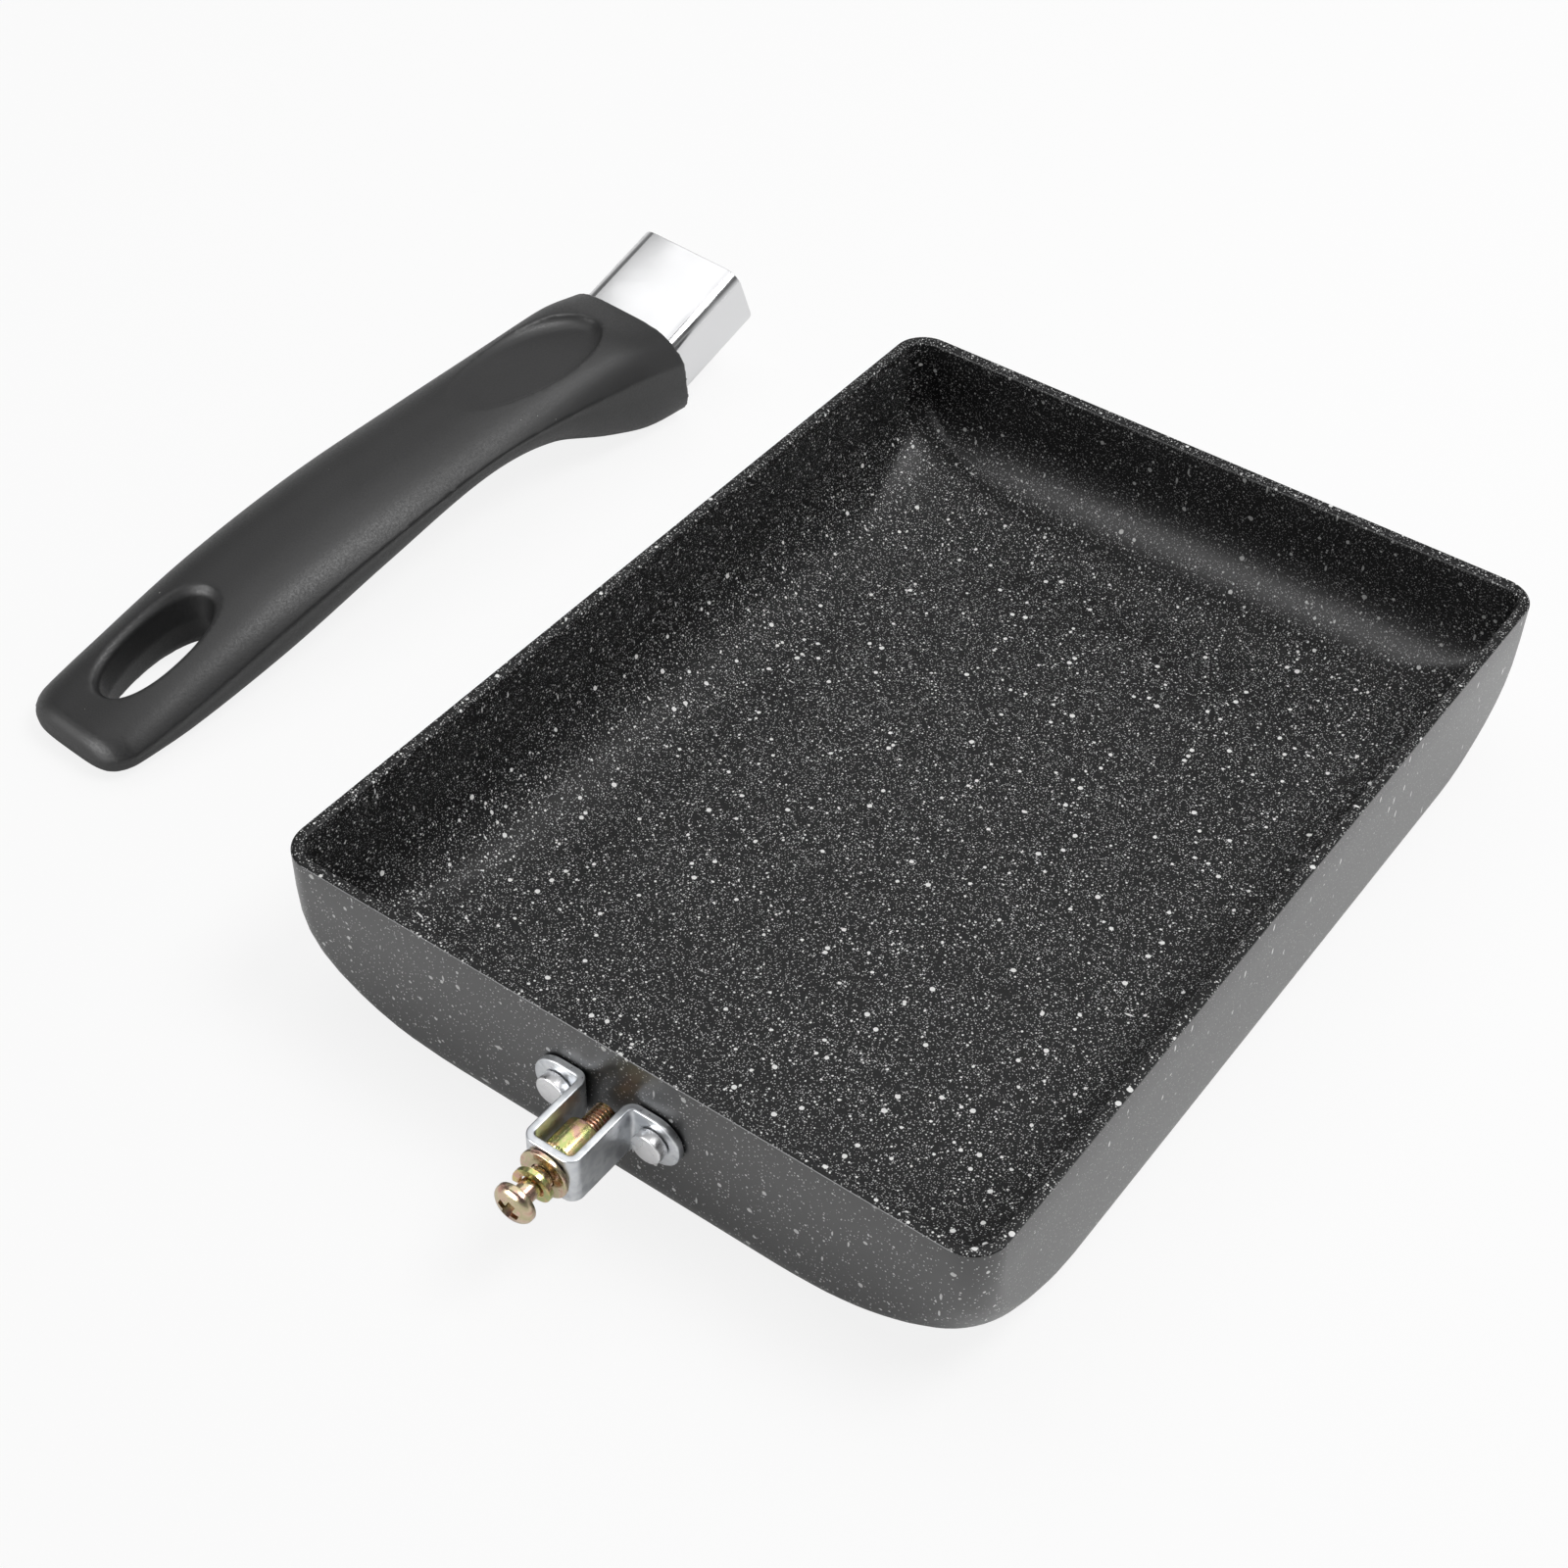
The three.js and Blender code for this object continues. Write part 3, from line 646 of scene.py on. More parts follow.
# %% Metals
def plated_metal(name, colours, cloud_mm, rough, scratch):
    material, shader, links = finish_material(name, {"Metallic": 1.0})
    cloud = place_group(material, grain, Pitch_mm=cloud_mm, Detail=2, Contrast=2.2)
    steps = [(0.15 + 0.7 * i / (len(colours) - 1), colour) for i, colour in enumerate(colours)]
    links.new(ramp(material, cloud, *steps), shader.inputs["Base Color"])
    fine = place_group(material, grain, Pitch_mm=0.9, Detail=4, Contrast=1.4)
    links.new(ramp(material, fine, (0.2, rough[0]), (0.8, rough[1])), shader.inputs["Roughness"])
    drawn = place_group(material, grain, stretch=(1, 0.08, 1), Pitch_mm=0.3, Detail=2, Contrast=1)
    links.new(bump(material, drawn, 0.01, scratch), shader.inputs["Normal"])
    return material


zinc_plate = plated_metal(
    "zinc_plate", [(0.58, 0.6, 0.63), (0.76, 0.78, 0.8), (0.66, 0.68, 0.71)], 3.2, (0.26, 0.42), 0.35
)
bare_aluminium = plated_metal(
    "bare_aluminium", [(0.78, 0.78, 0.79), (0.87, 0.87, 0.88)], 2.5, (0.24, 0.4), 0.25
)
yellow_plate = plated_metal(
    "yellow_plate", [(0.72, 0.44, 0.34), (0.76, 0.58, 0.28), (0.5, 0.58, 0.22), (0.74, 0.62, 0.34)], 2.4,
    (0.16, 0.3), 0.12,
)
rose_plate = plated_metal(
    "rose_plate", [(0.62, 0.38, 0.3), (0.7, 0.55, 0.4), (0.58, 0.52, 0.32), (0.76, 0.5, 0.42)], 2.8,
    (0.17, 0.3), 0.12,
)
print("metals ready")

# %% [markdown]
# ## The bracket
# One steel strap is bent to a hat: two ears lie on the pan's wall under the rivets, two arms reach
# out and an end plate carries the nut. A bent strip is easiest as a path: a point is extruded along the
# plan, the path is pulled up into a ribbon, its folds and ears are rounded, and Solidify gives the metal.
# Plate and ears are drilled last, so that nut and rivets pass through real holes.

# %% Bracket
STRAP = 1.5
BRACKET_WIDTH = 11.2
BRACKET_HEIGHT = 10.6
BRACKET_REACH = 16.8
FOLD = 1.65
SEAT_GAP = 0.3
ear_back = -PAN_HALF_LENGTH - SEAT_GAP
plate_front = ear_back - BRACKET_REACH


def path_from(points):
    """A chain of edges: a plane merged to one point, then extruded from place to place."""
    clear_selection()
    bpy.ops.mesh.primitive_plane_add(size=1 * MM)
    piece = bpy.context.object
    bpy.ops.object.mode_set(mode="EDIT")
    bpy.ops.mesh.select_mode(type="VERT")
    bpy.ops.mesh.select_all(action="SELECT")
    bpy.ops.mesh.merge(type="CENTER")
    bpy.ops.transform.translate(value=Vector(points[0]) * MM)
    for here, there in zip(points, points[1:]):
        bpy.ops.mesh.extrude_vertices_move(
            TRANSFORM_OT_translate={"value": (Vector(there) - Vector(here)) * MM}
        )
    bpy.ops.mesh.select_all(action="SELECT")
    return piece


arm = BRACKET_WIDTH / 2 - STRAP / 2
ear_end = RIVET_PITCH / 2 + BRACKET_HEIGHT / 2
ear_line = ear_back - STRAP / 2
plate_line = plate_front + STRAP / 2
bottom = BRACKET_Z - BRACKET_HEIGHT / 2
strap = path_from([
    (BRACKET_X + x, y, bottom)
    for x, y in (
        (-ear_end, ear_line), (-arm, ear_line), (-arm, plate_line),
        (arm, plate_line), (arm, ear_line), (ear_end, ear_line),
    )
])
strap.name = "bracket_strap"
bpy.ops.mesh.extrude_edges_move(TRANSFORM_OT_translate={"value": (0, 0, BRACKET_HEIGHT * MM)})


def is_fold(start, end):
    upright = abs(start.x - end.x) + abs(start.y - end.y) < 0.01 * MM
    return upright and abs(start.x - BRACKET_X * MM) < (arm + 1) * MM


select_by_place(strap, "EDGE", is_fold)
bpy.ops.mesh.bevel(offset=FOLD * MM, segments=8, profile=0.5, affect="EDGES")
select_by_place(strap, "VERT", lambda place: abs(place.x - BRACKET_X * MM) > (ear_end - 0.01) * MM)
bpy.ops.mesh.bevel(offset=(BRACKET_HEIGHT / 2 - 0.01) * MM, segments=12, profile=0.5, affect="VERTICES")
add_modifier(strap, "SOLIDIFY", thickness=STRAP * MM, offset=0, use_even_offset=True)
add_modifier(strap, "BEVEL", width=0.28 * MM, segments=3, limit_method="ANGLE", angle_limit=math.radians(50))
PLATE_HOLE = 2.95
drill(strap, PLATE_HOLE, BRACKET_X, BRACKET_Z, plate_front, plate_front + STRAP)
for side in (-1, 1):
    ear_x = BRACKET_X + side * RIVET_PITCH / 2
    drill(strap, RIVET_HOLE, ear_x, BRACKET_Z, ear_back - STRAP, ear_back)
settle(strap)
strap.data.materials.append(zinc_plate)
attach(strap, "pan")
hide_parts("handle_bracket")

# %% [markdown]
# ## Rivets
# Each rivet has a flat set head outside and a low dome inside the pan. A turned part is a half profile
# spun about its axis, and the same helper turns the nut, the washer and the screw.

# %% Turned pieces
ROUND_STEPS = 56


def turned(name, profile, x, z):
    """A half profile of (radius, y) points, spun about the Y direction through x, z."""
    piece = path_from([(radius, y, 0) for radius, y in profile])
    piece.name = name
    bpy.ops.mesh.spin(steps=ROUND_STEPS, angle=2 * math.pi, center=(0, 0, 0), axis=(0, 1, 0))
    bpy.ops.object.mode_set(mode="OBJECT")
    piece.location = (x * MM, 0, z * MM)
    return settle(piece)


def rounded_edge(radius, y, round_radius, inward, towards, steps=4):
    """Points of a small round between a face at y and a side at radius."""
    points = []
    for angle in quarter(steps):
        points.append((
            radius + inward * round_radius * (1 - math.sin(angle)),
            y + towards * round_radius * (1 - math.cos(angle)),
        ))
    return points


RIVET_SHANK = 2
RIVET_HEAD = 3.1
RIVET_HEAD_HEIGHT = 2.1
RIVET_INNER_HEAD = 3.8
RIVET_INNER_HEIGHT = 1.3
head_back = ear_back - STRAP - SEAT_GAP
head_front = head_back - RIVET_HEAD_HEIGHT
dome_front = -PAN_HALF_LENGTH + WALL + SEAT_GAP
dome = [
    (RIVET_INNER_HEAD * math.cos(angle), dome_front + RIVET_INNER_HEIGHT * math.sin(angle))
    for angle in quarter(8)
]
rivet_profile = [
    (0, head_front),
    *rounded_edge(RIVET_HEAD, head_front, 0.35, -1, 1),
    (RIVET_HEAD, head_back),
    (RIVET_SHANK, head_back),
    (RIVET_SHANK, dome_front),
    *dome[:-1],
    (0, dome[-1][1]),
]
for side, solid in ((-1, "rivet_left"), (1, "rivet_right")):
    rivet = turned("set_" + solid, rivet_profile, BRACKET_X + side * RIVET_PITCH / 2, BRACKET_Z)
    rivet.data.materials.append(bare_aluminium)
    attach(rivet, "pan")
    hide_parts(solid)

# %% [markdown]
# ## Nut and washers
# The clinch nut is a smooth sleeve with a knurled collar that bites into the plate. The knurl is a
# cylinder with every second corner drawn in. The spring washer is a square bar coiled through one turn,
# so it is a square swept by the Screw modifier with a small rise.

# %% Nut
NUT_RADIUS = 3.6
NUT_LENGTH = 8.2
NUT_COLLAR_RADIUS = 3.95
NUT_COLLAR_LENGTH = 1.1
NUT_SPIGOT = 2.9
BORE = 2.4
plate_back = plate_front + STRAP
collar_front = plate_back + SEAT_GAP
sleeve_back = collar_front + NUT_LENGTH
sleeve = turned("nut_sleeve", [
    (BORE, plate_front),
    (NUT_SPIGOT, plate_front),
    (NUT_SPIGOT, collar_front),
    (NUT_RADIUS, collar_front),
    *reversed(rounded_edge(NUT_RADIUS, sleeve_back, 0.6, -1, -1)),
    (BORE, sleeve_back),
    (BORE, plate_front),
], BRACKET_X, BRACKET_Z)
KNURLS = 34
clear_selection()
bpy.ops.mesh.primitive_cylinder_add(
    vertices=2 * KNURLS,
    radius=NUT_COLLAR_RADIUS * MM,
    depth=NUT_COLLAR_LENGTH * MM,
    location=(BRACKET_X * MM, (collar_front + NUT_COLLAR_LENGTH / 2) * MM, BRACKET_Z * MM),
    rotation=(math.pi / 2, 0, 0),
)
collar = bpy.context.object
bpy.ops.object.transform_apply(location=True, rotation=True, scale=True)
select_by_place(collar, "VERT", lambda place: round(
    math.atan2(place.z - BRACKET_Z * MM, place.x - BRACKET_X * MM) / (math.pi / KNURLS)
) % 2 == 1)
bpy.ops.transform.resize(
    value=(0.93, 1, 0.93), center_override=(BRACKET_X * MM, collar_front * MM, BRACKET_Z * MM)
)
add_modifier(collar, "BEVEL", width=0.1 * MM, segments=2, limit_method="ANGLE", angle_limit=math.radians(40))
COLLAR_BORE = 3.5
drill(collar, COLLAR_BORE, BRACKET_X, BRACKET_Z, collar_front, collar_front + NUT_COLLAR_LENGTH)
settle(collar, 30)
nut = join_pieces("knurled_nut", [sleeve, collar])
nut.data.materials.append(yellow_plate)
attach(nut, "pan")
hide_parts("clinch_nut")

# %% Washers
FLAT_OUTER = 4.95
FLAT_INNER = 2.45
FLAT_THICKNESS = 0.9
flat_back = plate_front - SEAT_GAP
flat_front = flat_back - FLAT_THICKNESS
flat = turned("flat_ring", [
    (FLAT_INNER, flat_front),
    *rounded_edge(FLAT_OUTER, flat_front, 0.2, -1, 1),
    *reversed(rounded_edge(FLAT_OUTER, flat_back, 0.2, -1, -1)),
    (FLAT_INNER, flat_back),
    (FLAT_INNER, flat_front),
], BRACKET_X, BRACKET_Z)
flat.data.materials.append(rose_plate)
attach(flat, "pan")
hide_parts("flat_washer")

SPRING_OUTER = 3.75
SPRING_INNER = 2.4
SPRING_BAR = 1.1
SPRING_RISE = 1.4
SPRING_SPLIT = 0.35
spring_middle = plate_front - 3.4
low = spring_middle - SPRING_RISE / 2 - SPRING_BAR / 2
high = low + SPRING_BAR
bar = [(SPRING_INNER, low), (SPRING_OUTER, low), (SPRING_OUTER, high), (SPRING_INNER, high)]
spring = path_from([(radius, y, 0) for radius, y in bar + bar[:1]])
spring.name = "split_ring"
bpy.ops.mesh.remove_doubles(threshold=0.002 * MM)
bpy.ops.object.mode_set(mode="OBJECT")
add_modifier(
    spring, "SCREW", axis="Y", angle=2 * math.pi - SPRING_SPLIT, screw_offset=SPRING_RISE * MM,
    steps=64, render_steps=64, use_merge_vertices=False,
)
bpy.ops.object.mode_set(mode="EDIT")
bpy.ops.mesh.select_all(action="SELECT")
bpy.ops.mesh.fill_holes(sides=0)
bpy.ops.object.mode_set(mode="OBJECT")
spring.rotation_euler = (0, math.pi - SPRING_SPLIT / 2, 0)
spring.location = (BRACKET_X * MM, 0, BRACKET_Z * MM)
settle(spring)
add_modifier(spring, "BEVEL", width=0.12 * MM, segments=2, limit_method="ANGLE", angle_limit=math.radians(50))
settle(spring)
spring.data.materials.append(yellow_plate)
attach(spring, "lock_washer")
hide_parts("spring_washer")

# %% [markdown]
# ## The screw
# A pan-head screw with a crossed recess, half turned out of its nut. Head and plain shank are turned,
# the recess is cut by two tapered bars with a Boolean, and the thread is one tooth profile swept up the
# shank by the Screw modifier, 0.7 mm a turn.

# %% Screw head and shank
SHANK_RADIUS = 1.95
HEAD_RADIUS = 4
HEAD_HEIGHT = 2.7
HEAD_EDGE = 0.9
SCREW_LENGTH = 23.6
PLAIN_LENGTH = 5.2
under = plate_front - 7.5
crown = under - HEAD_HEIGHT
tip = under + SCREW_LENGTH
crown_arc = [
    (HEAD_RADIUS * math.cos(angle), under - HEAD_EDGE + (crown - under + HEAD_EDGE) * math.sin(angle))
    for angle in quarter(12)
]
head = turned("cross_screw", [
    (0, crown),
    *reversed(crown_arc[:-1]),
    *reversed(rounded_edge(HEAD_RADIUS, under, 0.25, -1, -1)),
    (SHANK_RADIUS, under),
    (SHANK_RADIUS, under + PLAIN_LENGTH + 1),
    (0, under + PLAIN_LENGTH + 1),
], BRACKET_X, BRACKET_Z)
RECESS_SPAN = 6.2
RECESS_SLOT = 1.75
RECESS_DEPTH = 2.3
RECESS_TURN = math.radians(24)


def recess_bar(turn):
    """A bar that narrows towards its bottom, as one arm pair of the driver."""
    clear_selection()
    bpy.ops.mesh.primitive_cube_add(size=1)
    bar = bpy.context.object
    bar.scale = (RECESS_SPAN * MM, 2 * RECESS_DEPTH * MM, RECESS_SLOT * MM)
    bpy.ops.object.transform_apply(location=True, rotation=True, scale=True)
    select_by_place(bar, "VERT", lambda place: place.y > 0)
    bpy.ops.transform.resize(value=(0.42, 1, 0.75), center_override=(0, RECESS_DEPTH * MM, 0))
    bpy.ops.object.mode_set(mode="OBJECT")
    bar.rotation_euler = (0, turn, 0)
    bar.location = (BRACKET_X * MM, crown * MM, BRACKET_Z * MM)
    activate(bar)
    bpy.ops.object.transform_apply(location=True, rotation=True, scale=True)
    return bar


for turn in (RECESS_TURN, RECESS_TURN + math.pi / 2):
    cut_away(head, recess_bar(turn))

# %% Thread
THREAD_PITCH = 0.7
THREAD_CREST = 2.2
THREAD_ROOT = 1.7
thread_start = under + PLAIN_LENGTH
turns = int((tip - thread_start) / THREAD_PITCH)
tooth = [
    (THREAD_ROOT, 0), (THREAD_ROOT, 0.1), (THREAD_CREST, 0.32), (THREAD_CREST, 0.42), (THREAD_ROOT, 0.7),
]
thread = path_from([(radius, thread_start + y, 0) for radius, y in tooth])
bpy.ops.object.mode_set(mode="OBJECT")
add_modifier(
    thread, "SCREW", axis="Y", angle=2 * math.pi, screw_offset=THREAD_PITCH * MM, iterations=turns - 1,
    steps=48, render_steps=48, use_merge_vertices=False,
)
bpy.ops.object.mode_set(mode="EDIT")
bpy.ops.mesh.select_all(action="SELECT")
bpy.ops.mesh.remove_doubles(threshold=0.004 * MM)
bpy.ops.mesh.select_all(action="SELECT")
bpy.ops.mesh.fill_holes(sides=0)
bpy.ops.object.mode_set(mode="OBJECT")
thread.location = (BRACKET_X * MM, 0, BRACKET_Z * MM)
settle(thread, 30)
screw = join_pieces("cross_screw", [head, thread])
settle(screw, 35)
screw.data.materials.append(rose_plate)
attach(screw, "screw")
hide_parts("screw")
print("thread turns:", turns)

# %% [markdown]
# ## The grip
# The handle is a black moulded resin with a fine pebble grain. Its section changes all along: broad
# and flat at the tail, slim at the neck and square at the head. A box could be pushed into shape, but the
# section is known at a few stations, so circles are laid on those outlines, bridged, and then cut.

# %% Grip stations
GRIP_LENGTH = 167
GUARD_RISE = 13.2
FACE_TILT = math.radians(11)
SOCKET_TILT = math.radians(20)
LEAN_START = 117
TAIL_PLAN_ROUND = 7
TAIL_EDGE_ROUND = 3
TAIL_PLACE = Vector((-154, -84.2, 0)) * MM
HANDLE_TURN = math.radians(-4.35)
HANDLE_PLACE = Matrix.Translation(TAIL_PLACE) @ Matrix.Rotation(HANDLE_TURN, 4, "Z")
# Distance from the tail, half width, top, underside, belly roundness, crease share, crown flatness
STATIONS = (
    (0, 14.6, 8, 0, 3.4, 0.46, 4.6),
    (18, 15.9, 13.4, 0, 3.4, 0.42, 4.2),
    (46, 16.7, 20.4, 3.2, 3.3, 0.36, 3.6),
    (76, 16.5, 24.7, 8, 2.6, 0.33, 3.2),
    (108, 15.6, 27, 11.6, 2, 0.33, 3.2),
    (130, 16.3, 28, 9, 2.1, 0.33, 3.6),
    (146, 17.1, 28.3, 3.4, 3.5, 0.3, 4.2),
    (156, 17.7, 27.6, 0.4, 4.2, 0.28, 4.8),
    (167, 18.1, 25, 0, 4.4, 0.28, 5.2),
)


def station_values(distance):
    """All columns at a distance from the tail, on a smooth curve through the stations."""
    last = len(STATIONS) - 1
    i = 0
    while i < last - 1 and STATIONS[i + 1][0] < distance:
        i += 1

    def slope(k, column):
        before, after = STATIONS[max(k - 1, 0)], STATIONS[min(k + 1, last)]
        return (after[column] - before[column]) / (after[0] - before[0])

    here, there = STATIONS[i], STATIONS[i + 1]
    span = there[0] - here[0]
    u = (distance - here[0]) / span
    rise = u * u * (3 - 2 * u)
    return [
        here[c] * (1 - rise) + there[c] * rise
        + slope(i, c) * u * (1 - u) ** 2 * span - slope(i + 1, c) * u * u * (1 - u) * span
        for c in range(1, len(here))
    ]


def rounded_end(distance, radius):
    share = max(0, 1 - distance / radius)
    return radius * (1 - math.sqrt(1 - share * share))


# %% Grip blank
GRIP_POINTS = 80
GRIP_RINGS = 72
PARTING_STEP = 0.35


def signed_power(value, power):
    return math.copysign(abs(value) ** power, value)


def grip_loop(distance):
    """One section of the grip: a circle whose points are laid on the outline at that distance."""
    half, top, bottom, belly, crease_share, flatness = station_values(distance)
    half -= rounded_end(distance, TAIL_PLAN_ROUND)
    edge = rounded_end(distance, TAIL_EDGE_ROUND)
    top, bottom = top - edge, max(bottom, 0) + edge
    crease = top - crease_share * (top - bottom)
    lean_share = min(max((distance - LEAN_START) / (GRIP_LENGTH - LEAN_START), 0), 1)
    lean = math.tan(FACE_TILT) * lean_share * lean_share * (3 - 2 * lean_share)
    clear_selection()
    bpy.ops.mesh.primitive_circle_add(vertices=GRIP_POINTS, radius=1)
    loop = bpy.context.object
    for point in loop.data.vertices:
        angle = math.atan2(point.co.y, point.co.x)
        across, up = math.cos(angle), math.sin(angle)
        if up >= 0:
            x = half * across
            z = crease + (top - crease) * (1 - abs(across) ** flatness)
        else:
            x = (half - PARTING_STEP) * signed_power(across, 2 / belly)
            z = crease + (crease - bottom) * signed_power(up, 2 / belly)
        point.co = Vector((x, distance - lean * (z - GUARD_RISE), z)) * MM
    return loop


def ring_distance(share):
    return GRIP_LENGTH * (share * share / 0.2 if share < 0.2 else share)


grip = bridge_loops("grip", [grip_loop(ring_distance(i / GRIP_RINGS)) for i in range(GRIP_RINGS + 1)])
settle(grip)

# %% [markdown]
# The hanging hole, the thumb rest, the seat of the guard and the screw's way through the head are cut
# with Booleans. Moulded resin has no sharp edge anywhere, so a fine remesh and a little smoothing round
# every cut at once.

# %% Cuts in the grip
HOLE_CENTRE = 25
HOLE_LENGTH = 29
HOLE_WIDTH = 14
HOLE_SQUARENESS = 2.2
HOLE_BEVEL = 1.6
HOLE_WAIST = 0.9
hole_top = station_values(HOLE_CENTRE)[1]
hole_bottom = station_values(HOLE_CENTRE)[2]
hole_slope = (
    station_values(HOLE_CENTRE + HOLE_LENGTH / 2)[1] - station_values(HOLE_CENTRE - HOLE_LENGTH / 2)[1]
) / HOLE_LENGTH


def hole_loop(margin, z):
    clear_selection()
    bpy.ops.mesh.primitive_circle_add(vertices=64, radius=1)
    loop = bpy.context.object
    for point in loop.data.vertices:
        angle = math.atan2(point.co.y, point.co.x)
        x = (HOLE_WIDTH / 2 + margin) * signed_power(math.cos(angle), 2 / HOLE_SQUARENESS)
        y = (HOLE_LENGTH / 2 + margin) * signed_power(math.sin(angle), 2 / HOLE_SQUARENESS)
        point.co = Vector((x, HOLE_CENTRE + y, z + y * hole_slope)) * MM
    return loop


hole = bridge_loops("hanging_hole_tool", [
    hole_loop(HOLE_BEVEL + 2.6, hole_bottom - 3.6),
    hole_loop(HOLE_BEVEL, hole_bottom - 1),
    hole_loop(0, hole_bottom + HOLE_BEVEL),
    hole_loop(-HOLE_WAIST, (hole_top + hole_bottom) / 2),
    hole_loop(0, hole_top - HOLE_BEVEL),
    hole_loop(HOLE_BEVEL, hole_top),
    hole_loop(HOLE_BEVEL + 2.6, hole_top + 2.6),
])
settle(hole)
cut_away(grip, hole)

THUMB_CENTRE = 131
THUMB_LENGTH = 50
THUMB_WIDTH = 23
THUMB_DEPTH = 1.7
THUMB_TILT = math.radians(-2.4)
THUMB_ROUND = 3.4
clear_selection()
bpy.ops.mesh.primitive_cylinder_add(vertices=72, radius=1 * MM, depth=8 * MM)
thumb = bpy.context.object
thumb.scale = (THUMB_WIDTH / 2, THUMB_LENGTH / 2, 1)
bpy.ops.object.transform_apply(location=True, rotation=True, scale=True)
select_by_place(thumb, "EDGE", lambda a, b: a.z < 0 and b.z < 0)
bpy.ops.mesh.bevel(offset=THUMB_ROUND * MM, segments=8, profile=0.5, affect="EDGES")
bpy.ops.object.mode_set(mode="OBJECT")
thumb.rotation_euler = (THUMB_TILT, 0, 0)
thumb.location = Vector((0, THUMB_CENTRE, station_values(THUMB_CENTRE)[1] - THUMB_DEPTH + 4)) * MM
settle(thumb)
cut_away(grip, thumb)

# %% Guard seat and screw way
GUARD_WIDTH = 30
GUARD_HEIGHT = 17.2
GUARD_CORNER = 3.8
GUARD_PROUD = 25.4
GUARD_SEAT = 8
SOCKET_CENTRE = Vector((0, GRIP_LENGTH, GUARD_RISE)) * MM
SOCKET_PLACE = Matrix.Translation(SOCKET_CENTRE) @ Matrix.Rotation(SOCKET_TILT, 4, "X")


def socket_block(name, grow, start, end, steps):
    """A block along the socket's axis with rounded long edges."""
    clear_selection()
    bpy.ops.mesh.primitive_cube_add(size=1, location=(0, (start + end) / 2 * MM, 0))
    block = bpy.context.object
    block.name = name
    block.scale = Vector((GUARD_WIDTH + 2 * grow, end - start, GUARD_HEIGHT + 2 * grow)) * MM
    bpy.ops.object.transform_apply(location=True, rotation=True, scale=True)
    select_by_place(block, "EDGE", lambda a, b: abs(a.y - b.y) > 1 * MM)
    bpy.ops.mesh.bevel(offset=(GUARD_CORNER + grow) * MM, segments=steps, profile=0.5, affect="EDGES")
    bpy.ops.object.mode_set(mode="OBJECT")
    return block


seat = socket_block("guard_seat_tool", SEAT_GAP, -GUARD_SEAT, GUARD_PROUD, 10)
seat.matrix_world = SOCKET_PLACE
settle(seat)
cut_away(grip, seat)
SCREW_WAY = (2.5, -13, 1)
DRIVER_BORE = (5.4, -72, -12)
for radius, start, end in (SCREW_WAY, DRIVER_BORE):
    clear_selection()
    bpy.ops.mesh.primitive_cylinder_add(vertices=48, radius=radius * MM, depth=(end - start) * MM)
    bore = bpy.context.object
    bore.matrix_world = (
        SOCKET_PLACE
        @ Matrix.Translation((0, (start + end) / 2 * MM, 0))
        @ Matrix.Rotation(math.pi / 2, 4, "X")
    )
    settle(bore)
    cut_away(grip, bore)

# %% Soft edges of the moulding
VOXEL = 0.48
add_modifier(grip, "REMESH", mode="VOXEL", voxel_size=VOXEL * MM, adaptivity=0)
add_modifier(grip, "SMOOTH", factor=0.5, iterations=2)
grip.matrix_world = HANDLE_PLACE
settle(grip, 180)
print("grip triangles:", sum(len(face.vertices) - 2 for face in grip.data.polygons))

# %% [markdown]
# ## Resin
# The resin is black with a satin skin. A pebble grain breaks its reflections, and a little pale dust
# from the trimming has stayed on it.

# %% Resin
resin, shader, links = finish_material("black_resin", {"Specular IOR Level": 0.65})
pebble = place_group(resin, grain, Pitch_mm=0.45, Detail=2, Contrast=1.6)
cloud = place_group(resin, grain, Pitch_mm=22, Detail=2, Contrast=1.8)
dust = place_group(resin, speckle, Pitch_mm=4.6, Radius=0.045, Spread=0.8, Softness=0.01)
black = ramp(resin, cloud, (0.2, (0.0105, 0.0105, 0.011)), (0.8, (0.0165, 0.0165, 0.017)))
links.new(mix_colour(resin, dust, black, (0.5, 0.5, 0.48)), shader.inputs["Base Color"])
links.new(ramp(resin, pebble, (0.2, 0.4), (0.8, 0.54)), shader.inputs["Roughness"])
links.new(bump(resin, pebble, 0.03, 0.5), shader.inputs["Normal"])
grip.data.materials.append(resin)
grip.name = "grip_moulding"
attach(grip, "handle")
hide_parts("handle_grip")
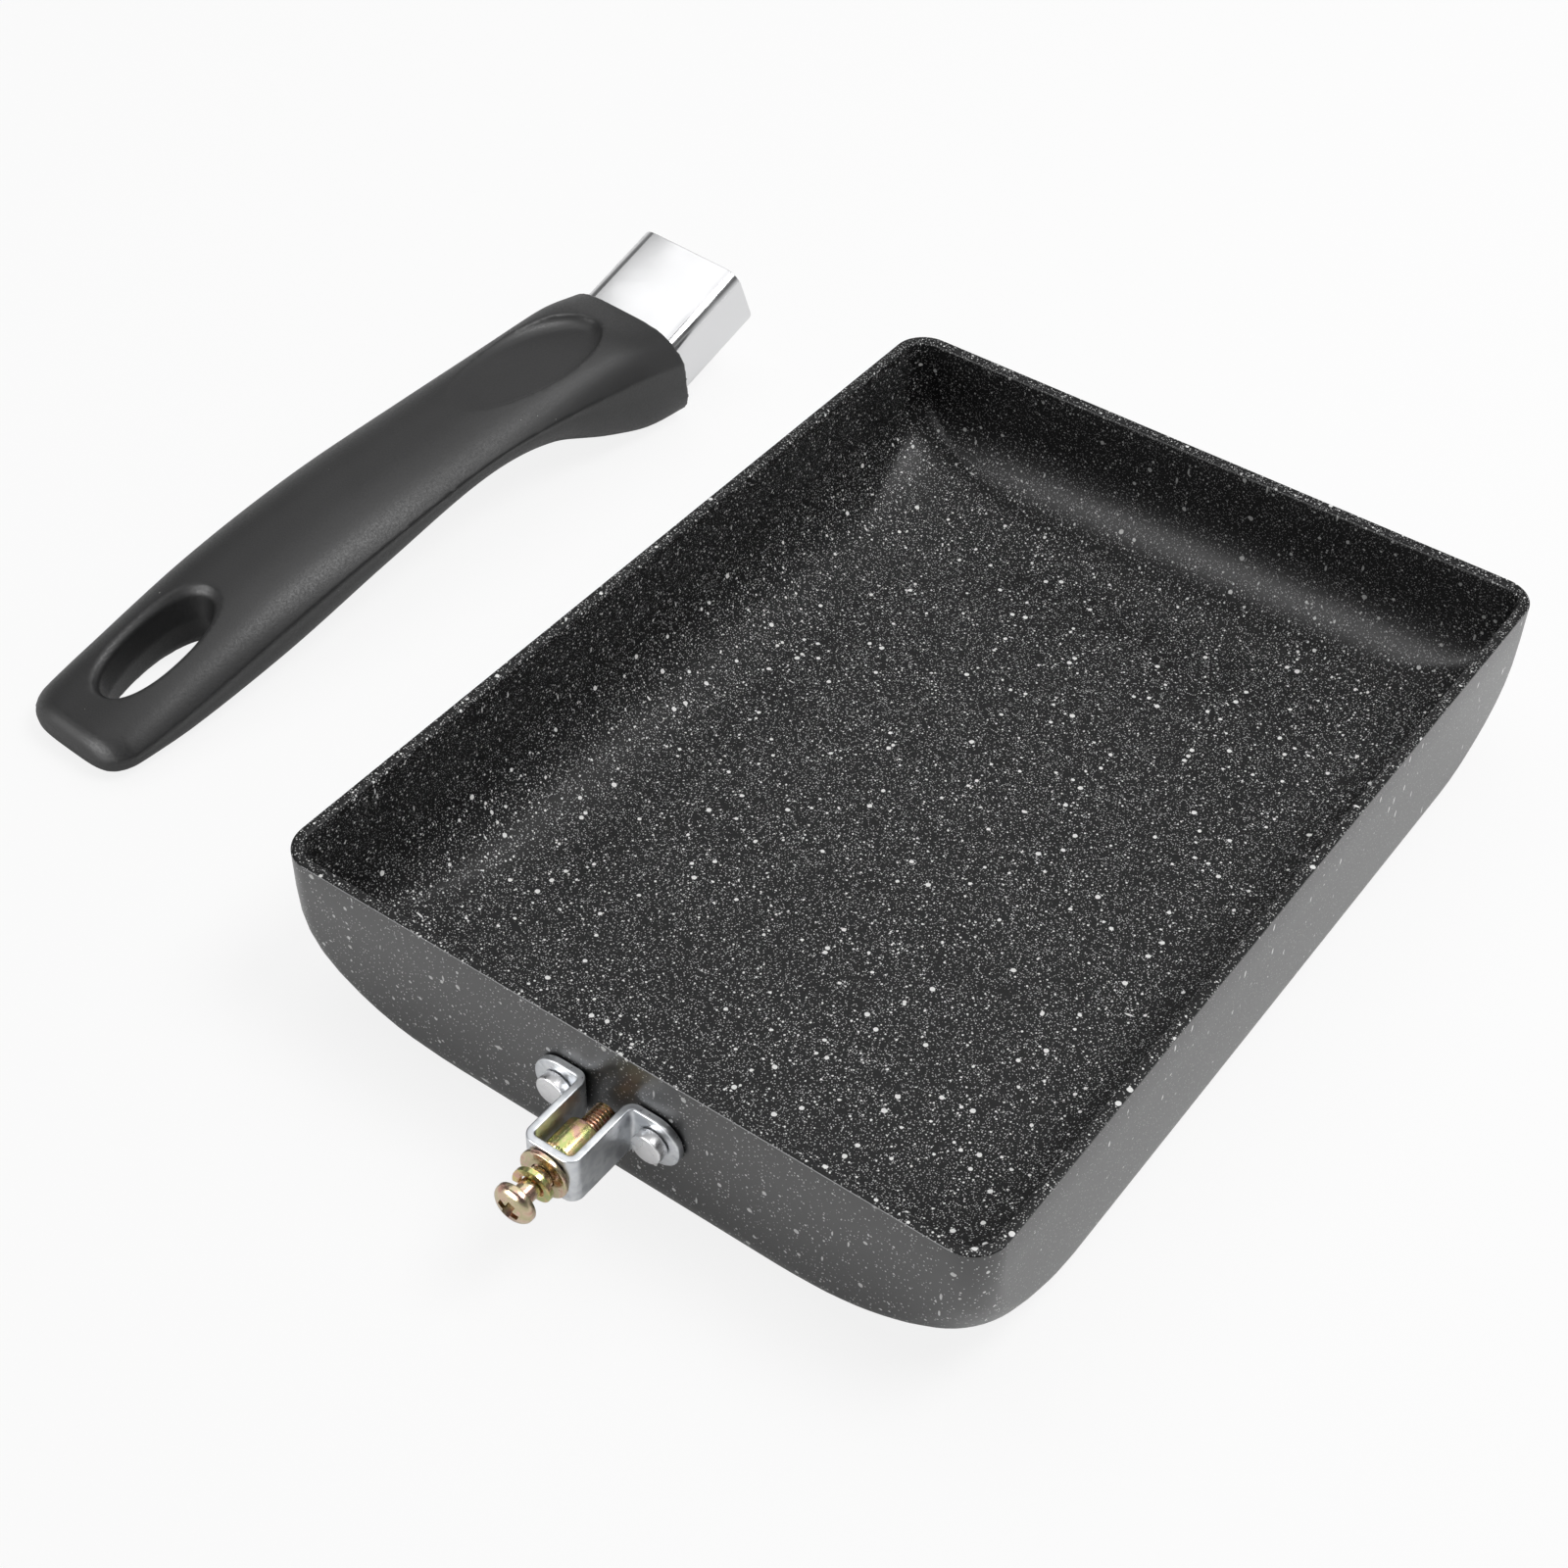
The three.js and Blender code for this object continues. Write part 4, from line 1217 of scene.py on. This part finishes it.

# %% [markdown]
# ## Flame guard
# A sleeve of polished aluminium keeps the flame off the resin. It is a block with rounded long edges and
# open ends, given its sheet thickness by Solidify, with a small round on the mouth. Dark lines along both
# bends are painted reflections of the dark room, so the colour is laid out across the sleeve's own width.

# %% Polished aluminium
polished_aluminium, shader, links = finish_material("polished_aluminium", {"Metallic": 1.0})
nodes = polished_aluminium.node_tree.nodes
to_sleeve = nodes.new("ShaderNodeMapping")
to_sleeve.inputs["Location"].default_value = (HANDLE_PLACE @ SOCKET_PLACE).inverted().to_translation()
to_sleeve.inputs["Rotation"].default_value = (HANDLE_PLACE @ SOCKET_PLACE).inverted().to_euler()
links.new(nodes.new("ShaderNodeTexCoord").outputs["Object"], to_sleeve.inputs["Vector"])
sides = nodes.new("ShaderNodeSeparateXYZ")
links.new(to_sleeve.outputs[0], sides.inputs[0])
from_middle = math_node(polished_aluminium.node_tree, "ABSOLUTE", sides.outputs["X"], None)
share = math_node(polished_aluminium.node_tree, "DIVIDE", from_middle, GUARD_WIDTH / 2 * MM)
sheet = (0.82, 0.822, 0.83)
reflected_dark = (0.36, 0.365, 0.375)
# Painted reflections: dark and grey bands on the rounded bends stand in for the dark room mirrored there;
# between them the sheet keeps its own colour
bend_reflections = ramp(
    polished_aluminium, share, (0.76, sheet), (0.82, (0.6, 0.605, 0.615)), (0.87, sheet), (0.93, reflected_dark),
    (0.97, (0.66, 0.665, 0.675)), (1.0, sheet),
)
wear = place_group(polished_aluminium, grain, Pitch_mm=9, Detail=3, Contrast=1.6)
links.new(mix_colour(polished_aluminium, wear, bend_reflections, sheet), shader.inputs["Base Color"])
links.new(ramp(polished_aluminium, wear, (0.2, 0.13), (0.8, 0.19)), shader.inputs["Roughness"])

# %% Guard
GUARD_WALL = 1.1
guard = socket_block("guard_sleeve", 0, -GUARD_SEAT + SEAT_GAP, GUARD_PROUD, 12)
select_by_place(guard, "FACE", lambda middle, normal: abs(normal.y) > 0.9)
bpy.ops.mesh.delete(type="FACE")
add_modifier(guard, "SOLIDIFY", thickness=GUARD_WALL * MM, offset=-1, use_even_offset=True)
add_modifier(guard, "BEVEL", width=0.22 * MM, segments=3, limit_method="ANGLE", angle_limit=math.radians(60))
guard.matrix_world = HANDLE_PLACE @ SOCKET_PLACE
settle(guard, 40)
guard.data.materials.append(polished_aluminium)
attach(guard, "handle")
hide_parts("flame_guard")

# %% [markdown]
# ## Size
# Each dressed piece is built at the place and size of the solid that it stands for.

# %% Size of the dressed object
print("dressed pieces in place")
